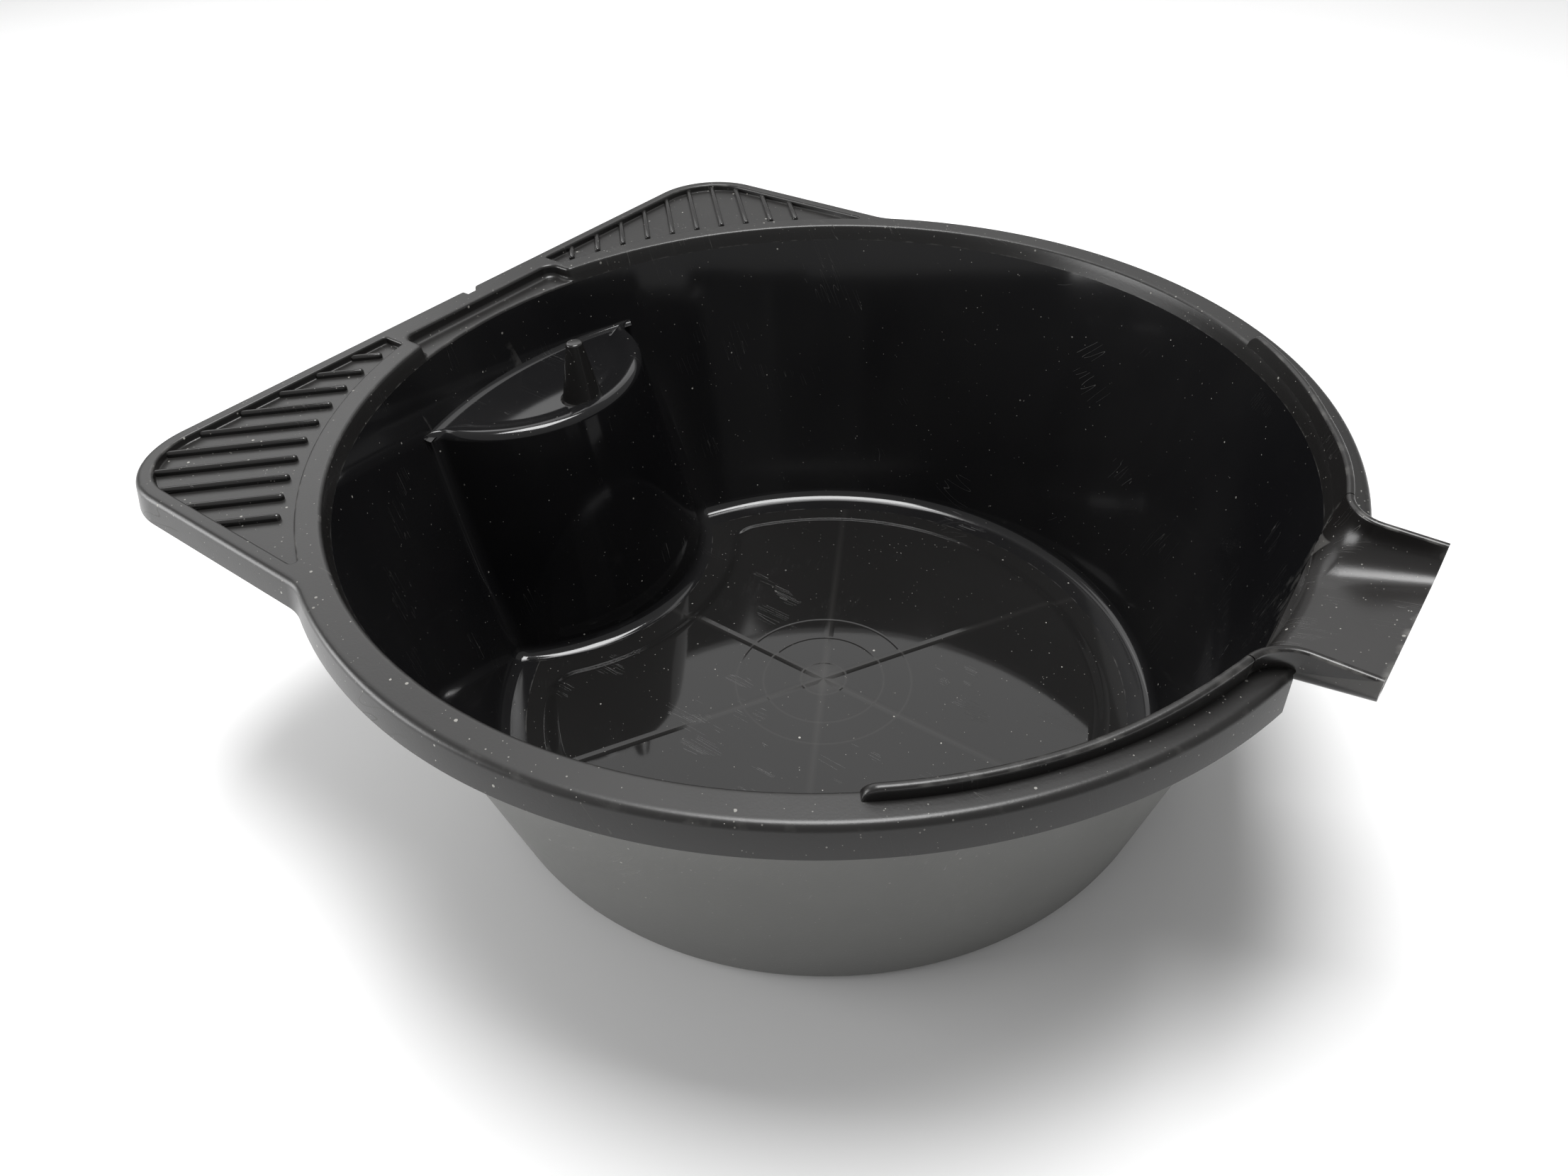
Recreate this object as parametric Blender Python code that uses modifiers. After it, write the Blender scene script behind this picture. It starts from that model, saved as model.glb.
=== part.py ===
"""Oil drain pan with a pouring spout, two ribbed ear grips and a filter stand.

The pan is one black injection moulding. Each object below is one moulded region of
it, with its own closed solid, so that the regions can be named, checked and reused.
Frame: +Z up, +X out through the spout, the mirror plane is XZ. Metres.
"""
import math

import bmesh
import bpy

# ---------------------------------------------------------------- dimensions
MM = 0.001
GAP = 0.3 * MM              # clearance kept between neighbouring regions
SKIN = 2.5 * MM             # moulded wall thickness

RIM_R = 170.0 * MM          # outer radius of the flat rim
RIM_Z = 125.5 * MM          # height of the flat rim above the ground
MOUTH_R = 159.5 * MM        # inner radius of the bowl at the rim
DRAFT = 0.254               # inner wall slope, radius per height
WALL_T = 2.6 * MM           # wall thickness measured along the radius
EDGE_R = 2.4 * MM           # rounding of the rim's outer edge
SKIRT_DROP = 9.2 * MM       # rim top to the bottom of the downturned skirt
SKIRT_FLARE = 1.5 * MM      # how far the skirt leans out at its bottom
SKIRT_T = 2.0 * MM

FOOT_TOP = 12.0 * MM        # height where the foot ring meets the wall
FOOT_FILLET = 5.5 * MM      # concave fillet between wall and gutter
BASE_CORNER = 5.0 * MM      # outside corner at the ground
FOOT_IN_R = 118.0 * MM      # inner radius of the foot ring

DISC_R = 105.6 * MM         # raised floor disc, flat part
DISC_RISE = 2.2 * MM
DISC_SLOPE = 5.0 * MM
DISC_CORNER = 9.0 * MM
STAND_GUTTER = 12.8 * MM    # gutter between the stand's foot and the disc slope

STAND_X = -155.5 * MM       # axis of the filter stand's round front
STAND_R0 = 72.2 * MM        # its radius at the ground
STAND_DRAFT = 0.19
STAND_Z = 98.6 * MM         # plateau height
STAND_EDGE = 3.0 * MM
DISH = 1.8 * MM             # how far the plateau is dished

PEG_X = -114.4 * MM
PEG_R0, PEG_R1 = 7.8 * MM, 3.2 * MM
PEG_H = 23.8 * MM

EAR_Y = 153.8 * MM          # half width over the ears
EAR_X = -177.6 * MM         # back edge of the ears
EAR_CORNER = 29.0 * MM
EAR_FILLET = 20.0 * MM      # concave fillet between rim and ear
EAR_SPLIT = -61.2 * MM      # where the free rim hands over to the ear
BORDER_W = 5.7 * MM         # raised border round the ribbed panel
BAND_R = 167.4 * MM         # outer radius of the rim band beside the panel
PANEL_DROP = 2.8 * MM       # panel top below the rim
RIB_COUNT = 10
RIB_R = 1.5 * MM
RIB_PITCH = 11.1 * MM       # across the ribs
RIB_FIRST = -80.6 * MM      # first rib's offset from the diagonal through the axis

POCKET_Y = 38.8 * MM        # half width of the pocket between the ears
POCKET_X = -165.8 * MM      # its back wall
POCKET_DEPTH = 5.0 * MM
END_T = 2.2 * MM

NOTCH_W, NOTCH_D = 7.6 * MM, 4.9 * MM

SPOUT_Y = 32.3 * MM         # half width over the spout walls
SPOUT_TIP = 185.3 * MM
SPOUT_TOP = 6.8 * MM        # spout wall above the rim
SPOUT_FLOOR0 = -10.4 * MM   # channel floor at the bowl wall, from the rim top
SPOUT_SLOPE = 0.26
SPOUT_FILLET = 13.0 * MM
SPOUT_T = 2.2 * MM

FENCE_H = 4.0 * MM
FENCE_T = 3.2 * MM
FENCE_ANGLE = 51.5          # degrees either side of the spout
FENCE_CORNER = 7.0 * MM     # turn from the fence into the spout wall

SPOKES = 6
SPOKE_W = 2.4 * MM
SPOKE_MARGIN = 4.0 * MM     # spoke end to the disc's edge
HUB_R0, HUB_R1 = 15.5 * MM, 18.0 * MM

STUB_X = 140.0 * MM         # where spout and pocket lofts start, inside the bowl
LIP = 1.0 * MM              # chamfer of the mouth's inner edge
CORE_T = 2.0 * MM           # wall of the cored peg
FLANGE_IN = 4.0 * MM        # gutter width left to the gutter plate beside the stand

ORIGIN_X = 0.5 * (SPOUT_TIP + EAR_X - SKIRT_FLARE)

STEPS = 96

# ---------------------------------------------------------------- scene set-up
for old in list(bpy.data.objects):
    bpy.data.objects.remove(old, do_unlink=True)

PARTS = bpy.data.collections.new("oil_drain_pan")
CUTTERS = bpy.data.collections.new("cutters")
for coll in (PARTS, CUTTERS):
    bpy.context.scene.collection.children.link(coll)

HOLDER = bpy.data.objects.new("pan_axis", None)
HOLDER.location = (-ORIGIN_X, 0.0, 0.0)
PARTS.objects.link(HOLDER)


def material(name, colour, roughness):
    """One black plastic finish."""
    mat = bpy.data.materials.new(name)
    mat.use_nodes = True
    bsdf = mat.node_tree.nodes["Principled BSDF"]
    bsdf.inputs["Base Color"].default_value = (*colour, 1.0)
    bsdf.inputs["Roughness"].default_value = roughness
    bsdf.inputs["Metallic"].default_value = 0.0
    mat.diffuse_color = (*colour, 1.0)
    return mat


# ---------------------------------------------------------------- helpers
def arc(cx, cy, radius, start, end, count):
    """Points on an arc, angles in degrees."""
    points = []
    for i in range(count + 1):
        a = math.radians(start + (end - start) * i / count)
        points.append((cx + radius * math.cos(a), cy + radius * math.sin(a)))
    return points


def wall_in(z):
    """Inner radius of the bowl at a height."""
    return MOUTH_R - DRAFT * (RIM_Z - z)


def wall_out(z):
    """Outer radius of the bowl at a height."""
    return wall_in(z) + WALL_T


def stand_out(z):
    """Radius of the filter stand's front, about its own axis."""
    return STAND_R0 - STAND_DRAFT * z


def add_object(name, mesh, mat=None, cutter=False):
    """Link a mesh as a named part, or as a hidden cutter."""
    obj = bpy.data.objects.new(name, mesh)
    (CUTTERS if cutter else PARTS).objects.link(obj)
    obj.parent = HOLDER
    if cutter:
        obj.hide_render = True
        obj.display_type = 'WIRE'
    elif mat is not None:
        mesh.materials.clear()
        mesh.materials.append(mat)
    return obj


def turned(name, profile, mat=None, centre=(0.0, 0.0), closed=True, cutter=False, steps=STEPS):
    """Turn a (radius, height) profile round a vertical axis with a Screw modifier."""
    mesh = bpy.data.meshes.new(name)
    bm = bmesh.new()
    verts = [bm.verts.new((r, 0.0, z)) for r, z in profile]
    last = len(verts) if closed else len(verts) - 1
    for i in range(last):
        bm.edges.new((verts[i], verts[(i + 1) % len(verts)]))
    bm.to_mesh(mesh)
    bm.free()
    obj = add_object(name, mesh, mat, cutter)
    obj.location = (centre[0], centre[1], 0.0)
    screw = obj.modifiers.new("turn", 'SCREW')
    screw.axis = 'Z'
    screw.angle = 2.0 * math.pi
    screw.steps = steps
    screw.render_steps = steps
    screw.use_merge_vertices = True
    screw.merge_threshold = 0.00001
    return obj


def curve_to_mesh(curve_obj, name, mat, cutter=False):
    """Weld an evaluated curve into a mesh object and drop the curve."""
    bpy.context.view_layer.update()
    graph = bpy.context.evaluated_depsgraph_get()
    mesh = bpy.data.meshes.new_from_object(curve_obj.evaluated_get(graph))
    world = curve_obj.matrix_world.copy()
    data = curve_obj.data
    bpy.data.objects.remove(curve_obj, do_unlink=True)
    bpy.data.curves.remove(data)
    bm = bmesh.new()
    bm.from_mesh(mesh)
    bm.transform(world)
    bmesh.ops.remove_doubles(bm, verts=bm.verts, dist=0.00001)
    bmesh.ops.recalc_face_normals(bm, faces=bm.faces)
    bm.to_mesh(mesh)
    bm.free()
    mesh.name = name
    return add_object(name, mesh, mat, cutter)


def plate(name, outlines, low, high, mat=None, cutter=False):
    """A flat plate from closed outlines (later ones are holes) between two heights."""
    curve = bpy.data.curves.new(name, 'CURVE')
    curve.dimensions = '2D'
    curve.fill_mode = 'BOTH'
    curve.extrude = 0.5 * (high - low)
    for outline in outlines:
        spline = curve.splines.new('POLY')
        spline.points.add(len(outline) - 1)
        for point, (x, y) in zip(spline.points, outline):
            point.co = (x, y, 0.0, 1.0)
        spline.use_cyclic_u = True
    obj = bpy.data.objects.new(name + "_curve", curve)
    obj.location = (0.0, 0.0, 0.5 * (low + high))
    bpy.context.scene.collection.objects.link(obj)
    return curve_to_mesh(obj, name, mat, cutter)


def swept(name, path, section, mat):
    """Sweep a closed section of (outward, up) points along an open plan path."""
    shape = bpy.data.curves.new(name + "_section", 'CURVE')
    shape.dimensions = '2D'
    spline = shape.splines.new('POLY')
    spline.points.add(len(section) - 1)
    for point, (u, v) in zip(spline.points, section):
        point.co = (u, v, 0.0, 1.0)
    spline.use_cyclic_u = True
    shape_obj = bpy.data.objects.new(name + "_section", shape)
    bpy.context.scene.collection.objects.link(shape_obj)
    rail = bpy.data.curves.new(name + "_rail", 'CURVE')
    rail.dimensions = '2D'
    rail.fill_mode = 'NONE'
    rail.bevel_mode = 'OBJECT'
    rail.bevel_object = shape_obj
    rail.use_fill_caps = True
    spline = rail.splines.new('POLY')
    spline.points.add(len(path) - 1)
    for point, (x, y) in zip(spline.points, path):
        point.co = (x, y, 0.0, 1.0)
    rail_obj = bpy.data.objects.new(name + "_rail", rail)
    bpy.context.scene.collection.objects.link(rail_obj)
    obj = curve_to_mesh(rail_obj, name, mat)
    bpy.data.objects.remove(shape_obj, do_unlink=True)
    bpy.data.curves.remove(shape)
    return obj


def box(name, x0, x1, y0, y1, z0, z1, mat=None, cutter=True):
    """An axis-aligned block."""
    mesh = bpy.data.meshes.new(name)
    bm = bmesh.new()
    bmesh.ops.create_cube(bm, size=1.0)
    bmesh.ops.scale(bm, verts=bm.verts, vec=(x1 - x0, y1 - y0, z1 - z0))
    bmesh.ops.translate(bm, verts=bm.verts, vec=(0.5 * (x0 + x1), 0.5 * (y0 + y1), 0.5 * (z0 + z1)))
    bm.to_mesh(mesh)
    bm.free()
    return add_object(name, mesh, mat, cutter)


def boolean(obj, other, operation='DIFFERENCE'):
    """Add an exact Boolean with another object."""
    mod = obj.modifiers.new(other.name, 'BOOLEAN')
    mod.operation = operation
    mod.solver = 'EXACT'
    mod.object = other


def smooth(obj, angle=35.0):
    """Smooth shading with sharp edges kept."""
    obj.data.shade_smooth()
    obj.data.set_sharp_from_angle(angle=math.radians(angle))


# ---------------------------------------------------------------- finishes
GLOSS = (0.012, 0.012, 0.013)
SATIN = (0.032, 0.032, 0.034)

# ---------------------------------------------------------------- cutters
Z_LOW, Z_HIGH = -20.0 * MM, 160.0 * MM

# inside of the bowl: everything inside the inner wall
bowl_core = turned("bowl_core", [
    (0.0, Z_HIGH), (wall_in(Z_HIGH), Z_HIGH), (wall_in(Z_LOW), Z_LOW), (0.0, Z_LOW)],
    closed=False, cutter=True)

# alcove: the hollow behind the filter stand, open at the back and below
ALCOVE_TOP = STAND_Z - DISH - SKIN
alcove = turned("alcove", [
    (0.0, ALCOVE_TOP), (stand_out(ALCOVE_TOP) - SKIN, ALCOVE_TOP),
    (stand_out(Z_LOW) - SKIN, Z_LOW), (0.0, Z_LOW)],
    centre=(STAND_X, 0.0), closed=False, cutter=True)

FLANGE_R = STAND_R0 + STAND_GUTTER - FLANGE_IN
STAND_LEAN = math.degrees(math.atan(STAND_DRAFT))
WALL_LEAN = math.degrees(math.atan(DRAFT))
stand_fillet = (stand_out(SKIN + FOOT_FILLET) + FOOT_FILLET * math.hypot(1.0, STAND_DRAFT), SKIN + FOOT_FILLET)
wall_fillet = (wall_in(SKIN + FOOT_FILLET) - FOOT_FILLET * math.hypot(1.0, DRAFT), SKIN + FOOT_FILLET)
foot_curve = arc(*stand_fillet, FOOT_FILLET - GAP, 180.0 + STAND_LEAN, 270.0, 5)
foot_clear = turned("stand_foot_clear", (
    [(0.0, FOOT_TOP + GAP), (stand_out(FOOT_TOP) + GAP, FOOT_TOP + GAP)] + foot_curve
    + [(FLANGE_R + GAP, SKIN + GAP), (FLANGE_R + GAP, Z_LOW), (0.0, Z_LOW)]),
    centre=(STAND_X, 0.0), closed=False, cutter=True)

# room that the stand may fill: the bowl above, out to the skin at the foot
stand_room = turned("stand_room", [
    (0.0, Z_HIGH), (wall_in(Z_HIGH) - GAP, Z_HIGH),
    (wall_in(FOOT_TOP + GAP) - GAP, FOOT_TOP + GAP), (wall_out(FOOT_TOP) - GAP, FOOT_TOP),
    (wall_out(BASE_CORNER), BASE_CORNER), (wall_out(0.0) - 0.5 * BASE_CORNER, 0.0),
    (wall_out(0.0) - 0.5 * BASE_CORNER, Z_LOW), (0.0, Z_LOW)],
    closed=False, cutter=True)


def spout_floor(x):
    """Height of the channel floor along the spout."""
    return RIM_Z + SPOUT_FLOOR0 + SPOUT_SLOPE * (x - wall_in(RIM_Z + SPOUT_FLOOR0))


def spout_section(x, grow, top):
    """Half-open U section of the channel at x, offset outwards by grow."""
    floor = spout_floor(x) - grow
    half = SPOUT_Y - SPOUT_T + grow
    fillet = min(SPOUT_FILLET, 0.8 * (RIM_Z + SPOUT_TOP - spout_floor(x))) + grow
    corner = arc(half - fillet, floor + fillet, fillet, 0.0, -90.0, 6)
    right = [(half, top)] + corner
    return [(-y, z) for y, z in right] + [(y, z) for y, z in reversed(right)]


def channel(name, x0, x1, grow, top, mat=None, cutter=False, inner=None):
    """Loft the U section between two stations; a solid trough, or a shell with inner."""
    mesh = bpy.data.meshes.new(name)
    bm = bmesh.new()
    rings = []
    for x in (x0, x1):
        outline = spout_section(x, grow, top)
        if inner is not None:
            outline = outline + list(reversed(spout_section(x, inner, top)))
        rings.append([bm.verts.new((x, y, z)) for y, z in outline])
    count = len(rings[0])
    for i in range(count):
        j = (i + 1) % count
        bm.faces.new((rings[0][i], rings[0][j], rings[1][j], rings[1][i]))
    bm.faces.new(rings[0])
    bm.faces.new(list(reversed(rings[1])))
    bmesh.ops.recalc_face_normals(bm, faces=bm.faces)
    bm.to_mesh(mesh)
    bm.free()
    return add_object(name, mesh, mat, cutter)


spout_clear = channel("spout_clear", STUB_X, SPOUT_TIP, SPOUT_T + GAP, Z_HIGH, cutter=True)

POCKET_FLOOR = RIM_Z - POCKET_DEPTH
TRAY_Y = POCKET_Y + END_T
pocket_clear = box("pocket_clear", EAR_X, -STUB_X, -TRAY_Y - GAP, TRAY_Y + GAP,
                   POCKET_FLOOR - SKIN - GAP, Z_HIGH)

# ---------------------------------------------------------------- bowl
WALL_TOP = RIM_Z - SKIN - GAP
bowl_wall = turned("bowl_wall", [
    (wall_out(WALL_TOP), WALL_TOP), (wall_out(FOOT_TOP + GAP), FOOT_TOP + GAP),
    (wall_in(FOOT_TOP + GAP), FOOT_TOP + GAP), (wall_in(WALL_TOP), WALL_TOP)],
    material("wall_gloss", GLOSS, 0.12))
boolean(bowl_wall, alcove)
boolean(bowl_wall, spout_clear)
boolean(bowl_wall, pocket_clear)

outer_corner = arc(wall_out(0.0) - BASE_CORNER + 1.0 * MM, BASE_CORNER, BASE_CORNER, 0.0, -90.0, 4)
inner_fillet = arc(*wall_fillet, FOOT_FILLET, -90.0, -WALL_LEAN, 4)
foot_ring = turned("foot_ring", (
    [(wall_out(FOOT_TOP), FOOT_TOP)] + outer_corner + [(FOOT_IN_R, 0.0), (FOOT_IN_R, SKIN)]
    + inner_fillet + [(wall_in(FOOT_TOP), FOOT_TOP)]), material("foot_gloss", GLOSS, 0.14))
boolean(foot_ring, foot_clear)


def d_outline(grow, corner):
    """Disc outline: a circle with the stand's round front bitten out, corners rounded."""
    big = DISC_R + grow
    bite = STAND_R0 + STAND_GUTTER + DISC_SLOPE - grow
    d = -STAND_X
    # centre of a corner round: inside the big circle, outside the bite
    ra, rb = big - corner, bite + corner
    cx = (ra * ra - rb * rb + d * d) / (2.0 * d)
    cy = math.sqrt(ra * ra - cx * cx)
    at_big = math.degrees(math.atan2(cy, -cx))
    at_bite = math.degrees(math.atan2(cy, d - cx))
    pts = arc(0.0, 0.0, big, -at_big, at_big, 60)
    turn_end = at_bite - 180.0
    pts += arc(-cx, cy, corner, at_big, 360.0 + turn_end, 8)[1:]
    pts += arc(STAND_X, 0.0, bite, at_bite, -at_bite, 28)[1:]
    pts += arc(-cx, -cy, corner, -360.0 - turn_end, -at_big, 8)[1:-1]
    return pts


floor_disc_mesh = bpy.data.meshes.new("floor_disc")
bm = bmesh.new()
ring = [bm.verts.new((x, y, 0.0)) for x, y in d_outline(DISC_SLOPE - GAP, DISC_CORNER + DISC_SLOPE)]
base = bm.faces.new(ring)
if base.normal.z > 0.0:
    base.normal_flip()
wall_faces = bmesh.ops.extrude_face_region(bm, geom=[base])
lid = [f for f in wall_faces["geom"] if isinstance(f, bmesh.types.BMFace)]
bmesh.ops.translate(bm, verts=[v for f in lid for v in f.verts], vec=(0.0, 0.0, SKIN))
bmesh.ops.recalc_face_normals(bm, faces=bm.faces)
bmesh.ops.inset_region(bm, faces=lid, thickness=DISC_SLOPE, depth=DISC_RISE, use_even_offset=True)
bmesh.ops.recalc_face_normals(bm, faces=bm.faces)
bm.to_mesh(floor_disc_mesh)
bm.free()
floor_disc = add_object("floor_disc", floor_disc_mesh, material("disc_gloss", GLOSS, 0.10))
disc_hollow = plate("disc_hollow", [d_outline(-1.5 * MM, DISC_CORNER)], Z_LOW, DISC_RISE, cutter=True)
boolean(floor_disc, disc_hollow)


def gutter_outline():
    """Outer edge of the gutter plate: the foot ring with the stand's foot bitten out."""
    big, bite, d = FOOT_IN_R - GAP, FLANGE_R + GAP, -STAND_X
    cx = (big * big - bite * bite + d * d) / (2.0 * d)
    cy = math.sqrt(big * big - cx * cx)
    at_big = math.degrees(math.atan2(cy, -cx))
    at_bite = math.degrees(math.atan2(cy, d - cx))
    pts = arc(0.0, 0.0, big, -at_big, at_big, 72)
    pts += arc(STAND_X, 0.0, bite, at_bite, -at_bite, 32)[1:-1]
    return pts


gutter = plate("gutter_floor", [gutter_outline(), d_outline(DISC_SLOPE, DISC_CORNER + DISC_SLOPE)],
               0.0, SKIN, material("gutter_gloss", GLOSS, 0.14))

# ribs under the disc: a hub ring and six spokes
RIB_TOP = DISC_RISE - GAP
RIB_LOW = 0.3 * MM
spokes = turned("underside_spokes", [
    (HUB_R1, RIB_TOP), (HUB_R1, RIB_LOW), (HUB_R0, RIB_LOW), (HUB_R0, RIB_TOP)],
    material("spoke_satin", SATIN, 0.4), steps=48)
disc_front = STAND_X + STAND_R0 + STAND_GUTTER + DISC_SLOPE
for i in range(SPOKES):
    angle = 2.0 * math.pi * i / SPOKES
    reach = (-disc_front if i == SPOKES // 2 else DISC_R) - SPOKE_MARGIN
    bar = box("spoke_%d" % i, HUB_R0 + GAP, reach, -0.5 * SPOKE_W, 0.5 * SPOKE_W, RIB_LOW, RIB_TOP)
    bar.rotation_euler = (0.0, 0.0, angle)
    boolean(spokes, bar, 'UNION')

# ---------------------------------------------------------------- filter stand
top_r = stand_out(STAND_Z)
edge = arc(top_r - STAND_EDGE, STAND_Z - STAND_EDGE, STAND_EDGE, 90.0, 5.0, 4)
foot = arc(*stand_fillet, FOOT_FILLET, 180.0 + STAND_LEAN, 270.0, 5)
under = STAND_Z - DISH - SKIN
stand = turned("filter_stand", (
    [(0.0, STAND_Z - DISH), (top_r - 12.0 * MM, STAND_Z - DISH), (top_r - 6.0 * MM, STAND_Z - 0.7 * MM)]
    + edge + foot + [(FLANGE_R, SKIN), (FLANGE_R, 0.0), (stand_out(0.0) - SKIN, 0.0),
                     (stand_out(under) - SKIN, under), (0.0, under)]),
    material("stand_gloss", GLOSS, 0.10), centre=(STAND_X, 0.0), closed=False)
boolean(stand, stand_room, 'INTERSECT')
peg_hole = turned("peg_hole", [
    (0.0, Z_HIGH), (PEG_R0 + GAP, Z_HIGH), (PEG_R0 + GAP, under - 5.0 * MM), (0.0, under - 5.0 * MM)],
    centre=(PEG_X, 0.0), closed=False, cutter=True, steps=32)
boolean(stand, peg_hole)

peg_top = STAND_Z - DISH + PEG_H
peg = turned("filter_peg", [
    (0.0, peg_top), (PEG_R1 - 0.8 * MM, peg_top), (PEG_R1, peg_top - 0.8 * MM),
    (PEG_R0 - 0.6 * MM, STAND_Z - DISH + 1.2 * MM), (PEG_R0, STAND_Z - DISH),
    (PEG_R0, under), (PEG_R0 - CORE_T, under), (PEG_R1 - 0.8 * CORE_T, peg_top - SKIN),
    (0.0, peg_top - SKIN)],
    material("peg_satin", SATIN, 0.35), centre=(PEG_X, 0.0), closed=False, steps=32)

# ---------------------------------------------------------------- rim and ears
# edge section, (outward, up): flange, rounded edge and the skirt that leans out
LOW = RIM_Z - SKIRT_DROP


def edge_section(width):
    """Section of the edge: top flange of a width, rounded corner, downturned skirt."""
    pts = [(-width, RIM_Z)]
    pts += arc(-EDGE_R, RIM_Z - EDGE_R, EDGE_R, 90.0, 0.0, 4)
    pts += [(SKIRT_FLARE, LOW), (SKIRT_FLARE - SKIRT_T, LOW),
            (-SKIRT_T, RIM_Z - SKIN), (-width, RIM_Z - SKIN)]
    return pts


rim_section = [(RIM_R + u, z) for u, z in edge_section(RIM_R - MOUTH_R - LIP)]
rim_section[0:1] = [(MOUTH_R - 0.05 * MM, RIM_Z - LIP), (MOUTH_R + LIP, RIM_Z)]
rim_section[-1:] = [(MOUTH_R - 0.5 * MM, RIM_Z - SKIN)]
band_section = [(MOUTH_R - 0.05 * MM, RIM_Z - LIP), (MOUTH_R + LIP, RIM_Z), (BAND_R, RIM_Z),
                (BAND_R, RIM_Z - SKIN), (MOUTH_R - 0.5 * MM, RIM_Z - SKIN)]

PATH_SECTION = edge_section(BORDER_W)
FAR = 260.0 * MM


def ear_path(grow):
    """Plan path of the ear's edge on the +Y side, from the free rim to the back."""
    line, fillet = EAR_Y + grow, EAR_FILLET - grow
    cx = -math.sqrt((RIM_R + EAR_FILLET) ** 2 - (EAR_Y + EAR_FILLET) ** 2)
    cy = EAR_Y + EAR_FILLET
    meet = math.degrees(math.atan2(cy, cx))
    start = math.degrees(math.acos(EAR_SPLIT / (RIM_R + grow)))
    pts = arc(0.0, 0.0, RIM_R + grow, start, meet, 3)
    pts += arc(cx, cy, fillet, meet - 180.0, -90.0, 5)[1:]
    pts += arc(EAR_X + EAR_CORNER, EAR_Y - EAR_CORNER, EAR_CORNER + grow, 90.0, 180.0, 14)
    pts.append((EAR_X - grow, TRAY_Y + GAP))
    return [p for i, p in enumerate(pts) if i == 0 or math.dist(p, pts[i - 1]) > 1e-6]


def panel_outline():
    """Outline of the ribbed panel, from the bowl wall out to the skirt."""
    inner = wall_out(RIM_Z - PANEL_DROP) + GAP
    outer = ear_path(-SKIRT_T - GAP)
    start = math.degrees(math.acos(EAR_SPLIT / inner))
    end = 180.0 - math.degrees(math.asin((TRAY_Y + GAP) / inner))
    return outer + list(reversed(arc(0.0, 0.0, inner, start, end, 28)))


def rib_ends(index):
    """Ends of one rib: on the border outside, on an arc beside the rim band inside."""
    # the ribs are parallel to the diagonal through the bowl's axis
    shift = RIB_FIRST + index * RIB_PITCH
    ux, uy = -math.sqrt(0.5), math.sqrt(0.5)        # outward along the rib
    nx, ny = uy, -ux                                # across the ribs
    px, py = nx * shift, ny * shift
    inner = math.sqrt(max((BAND_R + 4.5 * MM) ** 2 - shift * shift, 0.0))
    reach_x = (EAR_X + BORDER_W - px) / ux
    reach_y = (EAR_Y - BORDER_W - py) / uy
    reach = min(reach_x, reach_y)
    corner_r = EAR_CORNER - BORDER_W
    ccx, ccy = EAR_X + EAR_CORNER - px, EAR_Y - EAR_CORNER - py
    along = ccx * ux + ccy * uy
    half_chord2 = corner_r ** 2 - (ccx * ccx + ccy * ccy - along * along)
    at_corner = px + ux * reach < EAR_X + EAR_CORNER and py + uy * reach > EAR_Y - EAR_CORNER
    if half_chord2 > 0.0 and at_corner:
        reach = min(reach, along + math.sqrt(half_chord2))
    reach -= RIB_R + GAP
    return (px + ux * inner, py + uy * inner), (px + ux * reach, py + uy * reach)


def rib(name, side, index):
    """One rounded rib lying on the panel."""
    (x0, y0), (x1, y1) = rib_ends(index)
    length = math.hypot(x1 - x0, y1 - y0)
    mesh = bpy.data.meshes.new(name)
    bm = bmesh.new()
    bmesh.ops.create_cone(bm, cap_ends=True, segments=12, radius1=RIB_R, radius2=RIB_R, depth=length)
    caps = [e for e in bm.edges if abs(e.verts[0].co.z - e.verts[1].co.z) < 1e-7]
    bmesh.ops.bevel(bm, geom=caps, offset=0.9 * MM, segments=2, profile=0.5, affect='EDGES')
    bm.to_mesh(mesh)
    bm.free()
    obj = add_object(name, mesh, cutter=True)
    obj.location = (0.5 * (x0 + x1), side * 0.5 * (y0 + y1), RIM_Z - PANEL_DROP + 0.35 * MM)
    obj.rotation_euler = (0.0, 0.5 * math.pi, math.atan2(side * (y1 - y0), x1 - x0))
    return obj


def mirror_points(points, side):
    """Points on the +Y side, or their mirror images in order."""
    return points if side > 0 else [(x, -y) for x, y in reversed(points)]


band_clear = turned("band_clear", [
    (0.0, Z_HIGH), (BAND_R + GAP, Z_HIGH), (BAND_R + GAP, RIM_Z - SKIN - 0.6 * MM),
    (0.0, RIM_Z - SKIN - 0.6 * MM)], closed=False, cutter=True)
ear_half = box("ear_half", -FAR, EAR_SPLIT - 0.5 * GAP, -FAR, FAR, Z_LOW, Z_HIGH)
free_half = box("free_half", EAR_SPLIT + 0.5 * GAP, FAR, -FAR, FAR, Z_LOW, Z_HIGH)
tray_clear = box("tray_clear", -FAR, 0.0, -TRAY_Y - GAP, TRAY_Y + GAP, Z_LOW, Z_HIGH)
spout_gap = box("spout_gap", 0.0, FAR, -SPOUT_Y - GAP, SPOUT_Y + GAP, Z_LOW, Z_HIGH)

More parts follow.
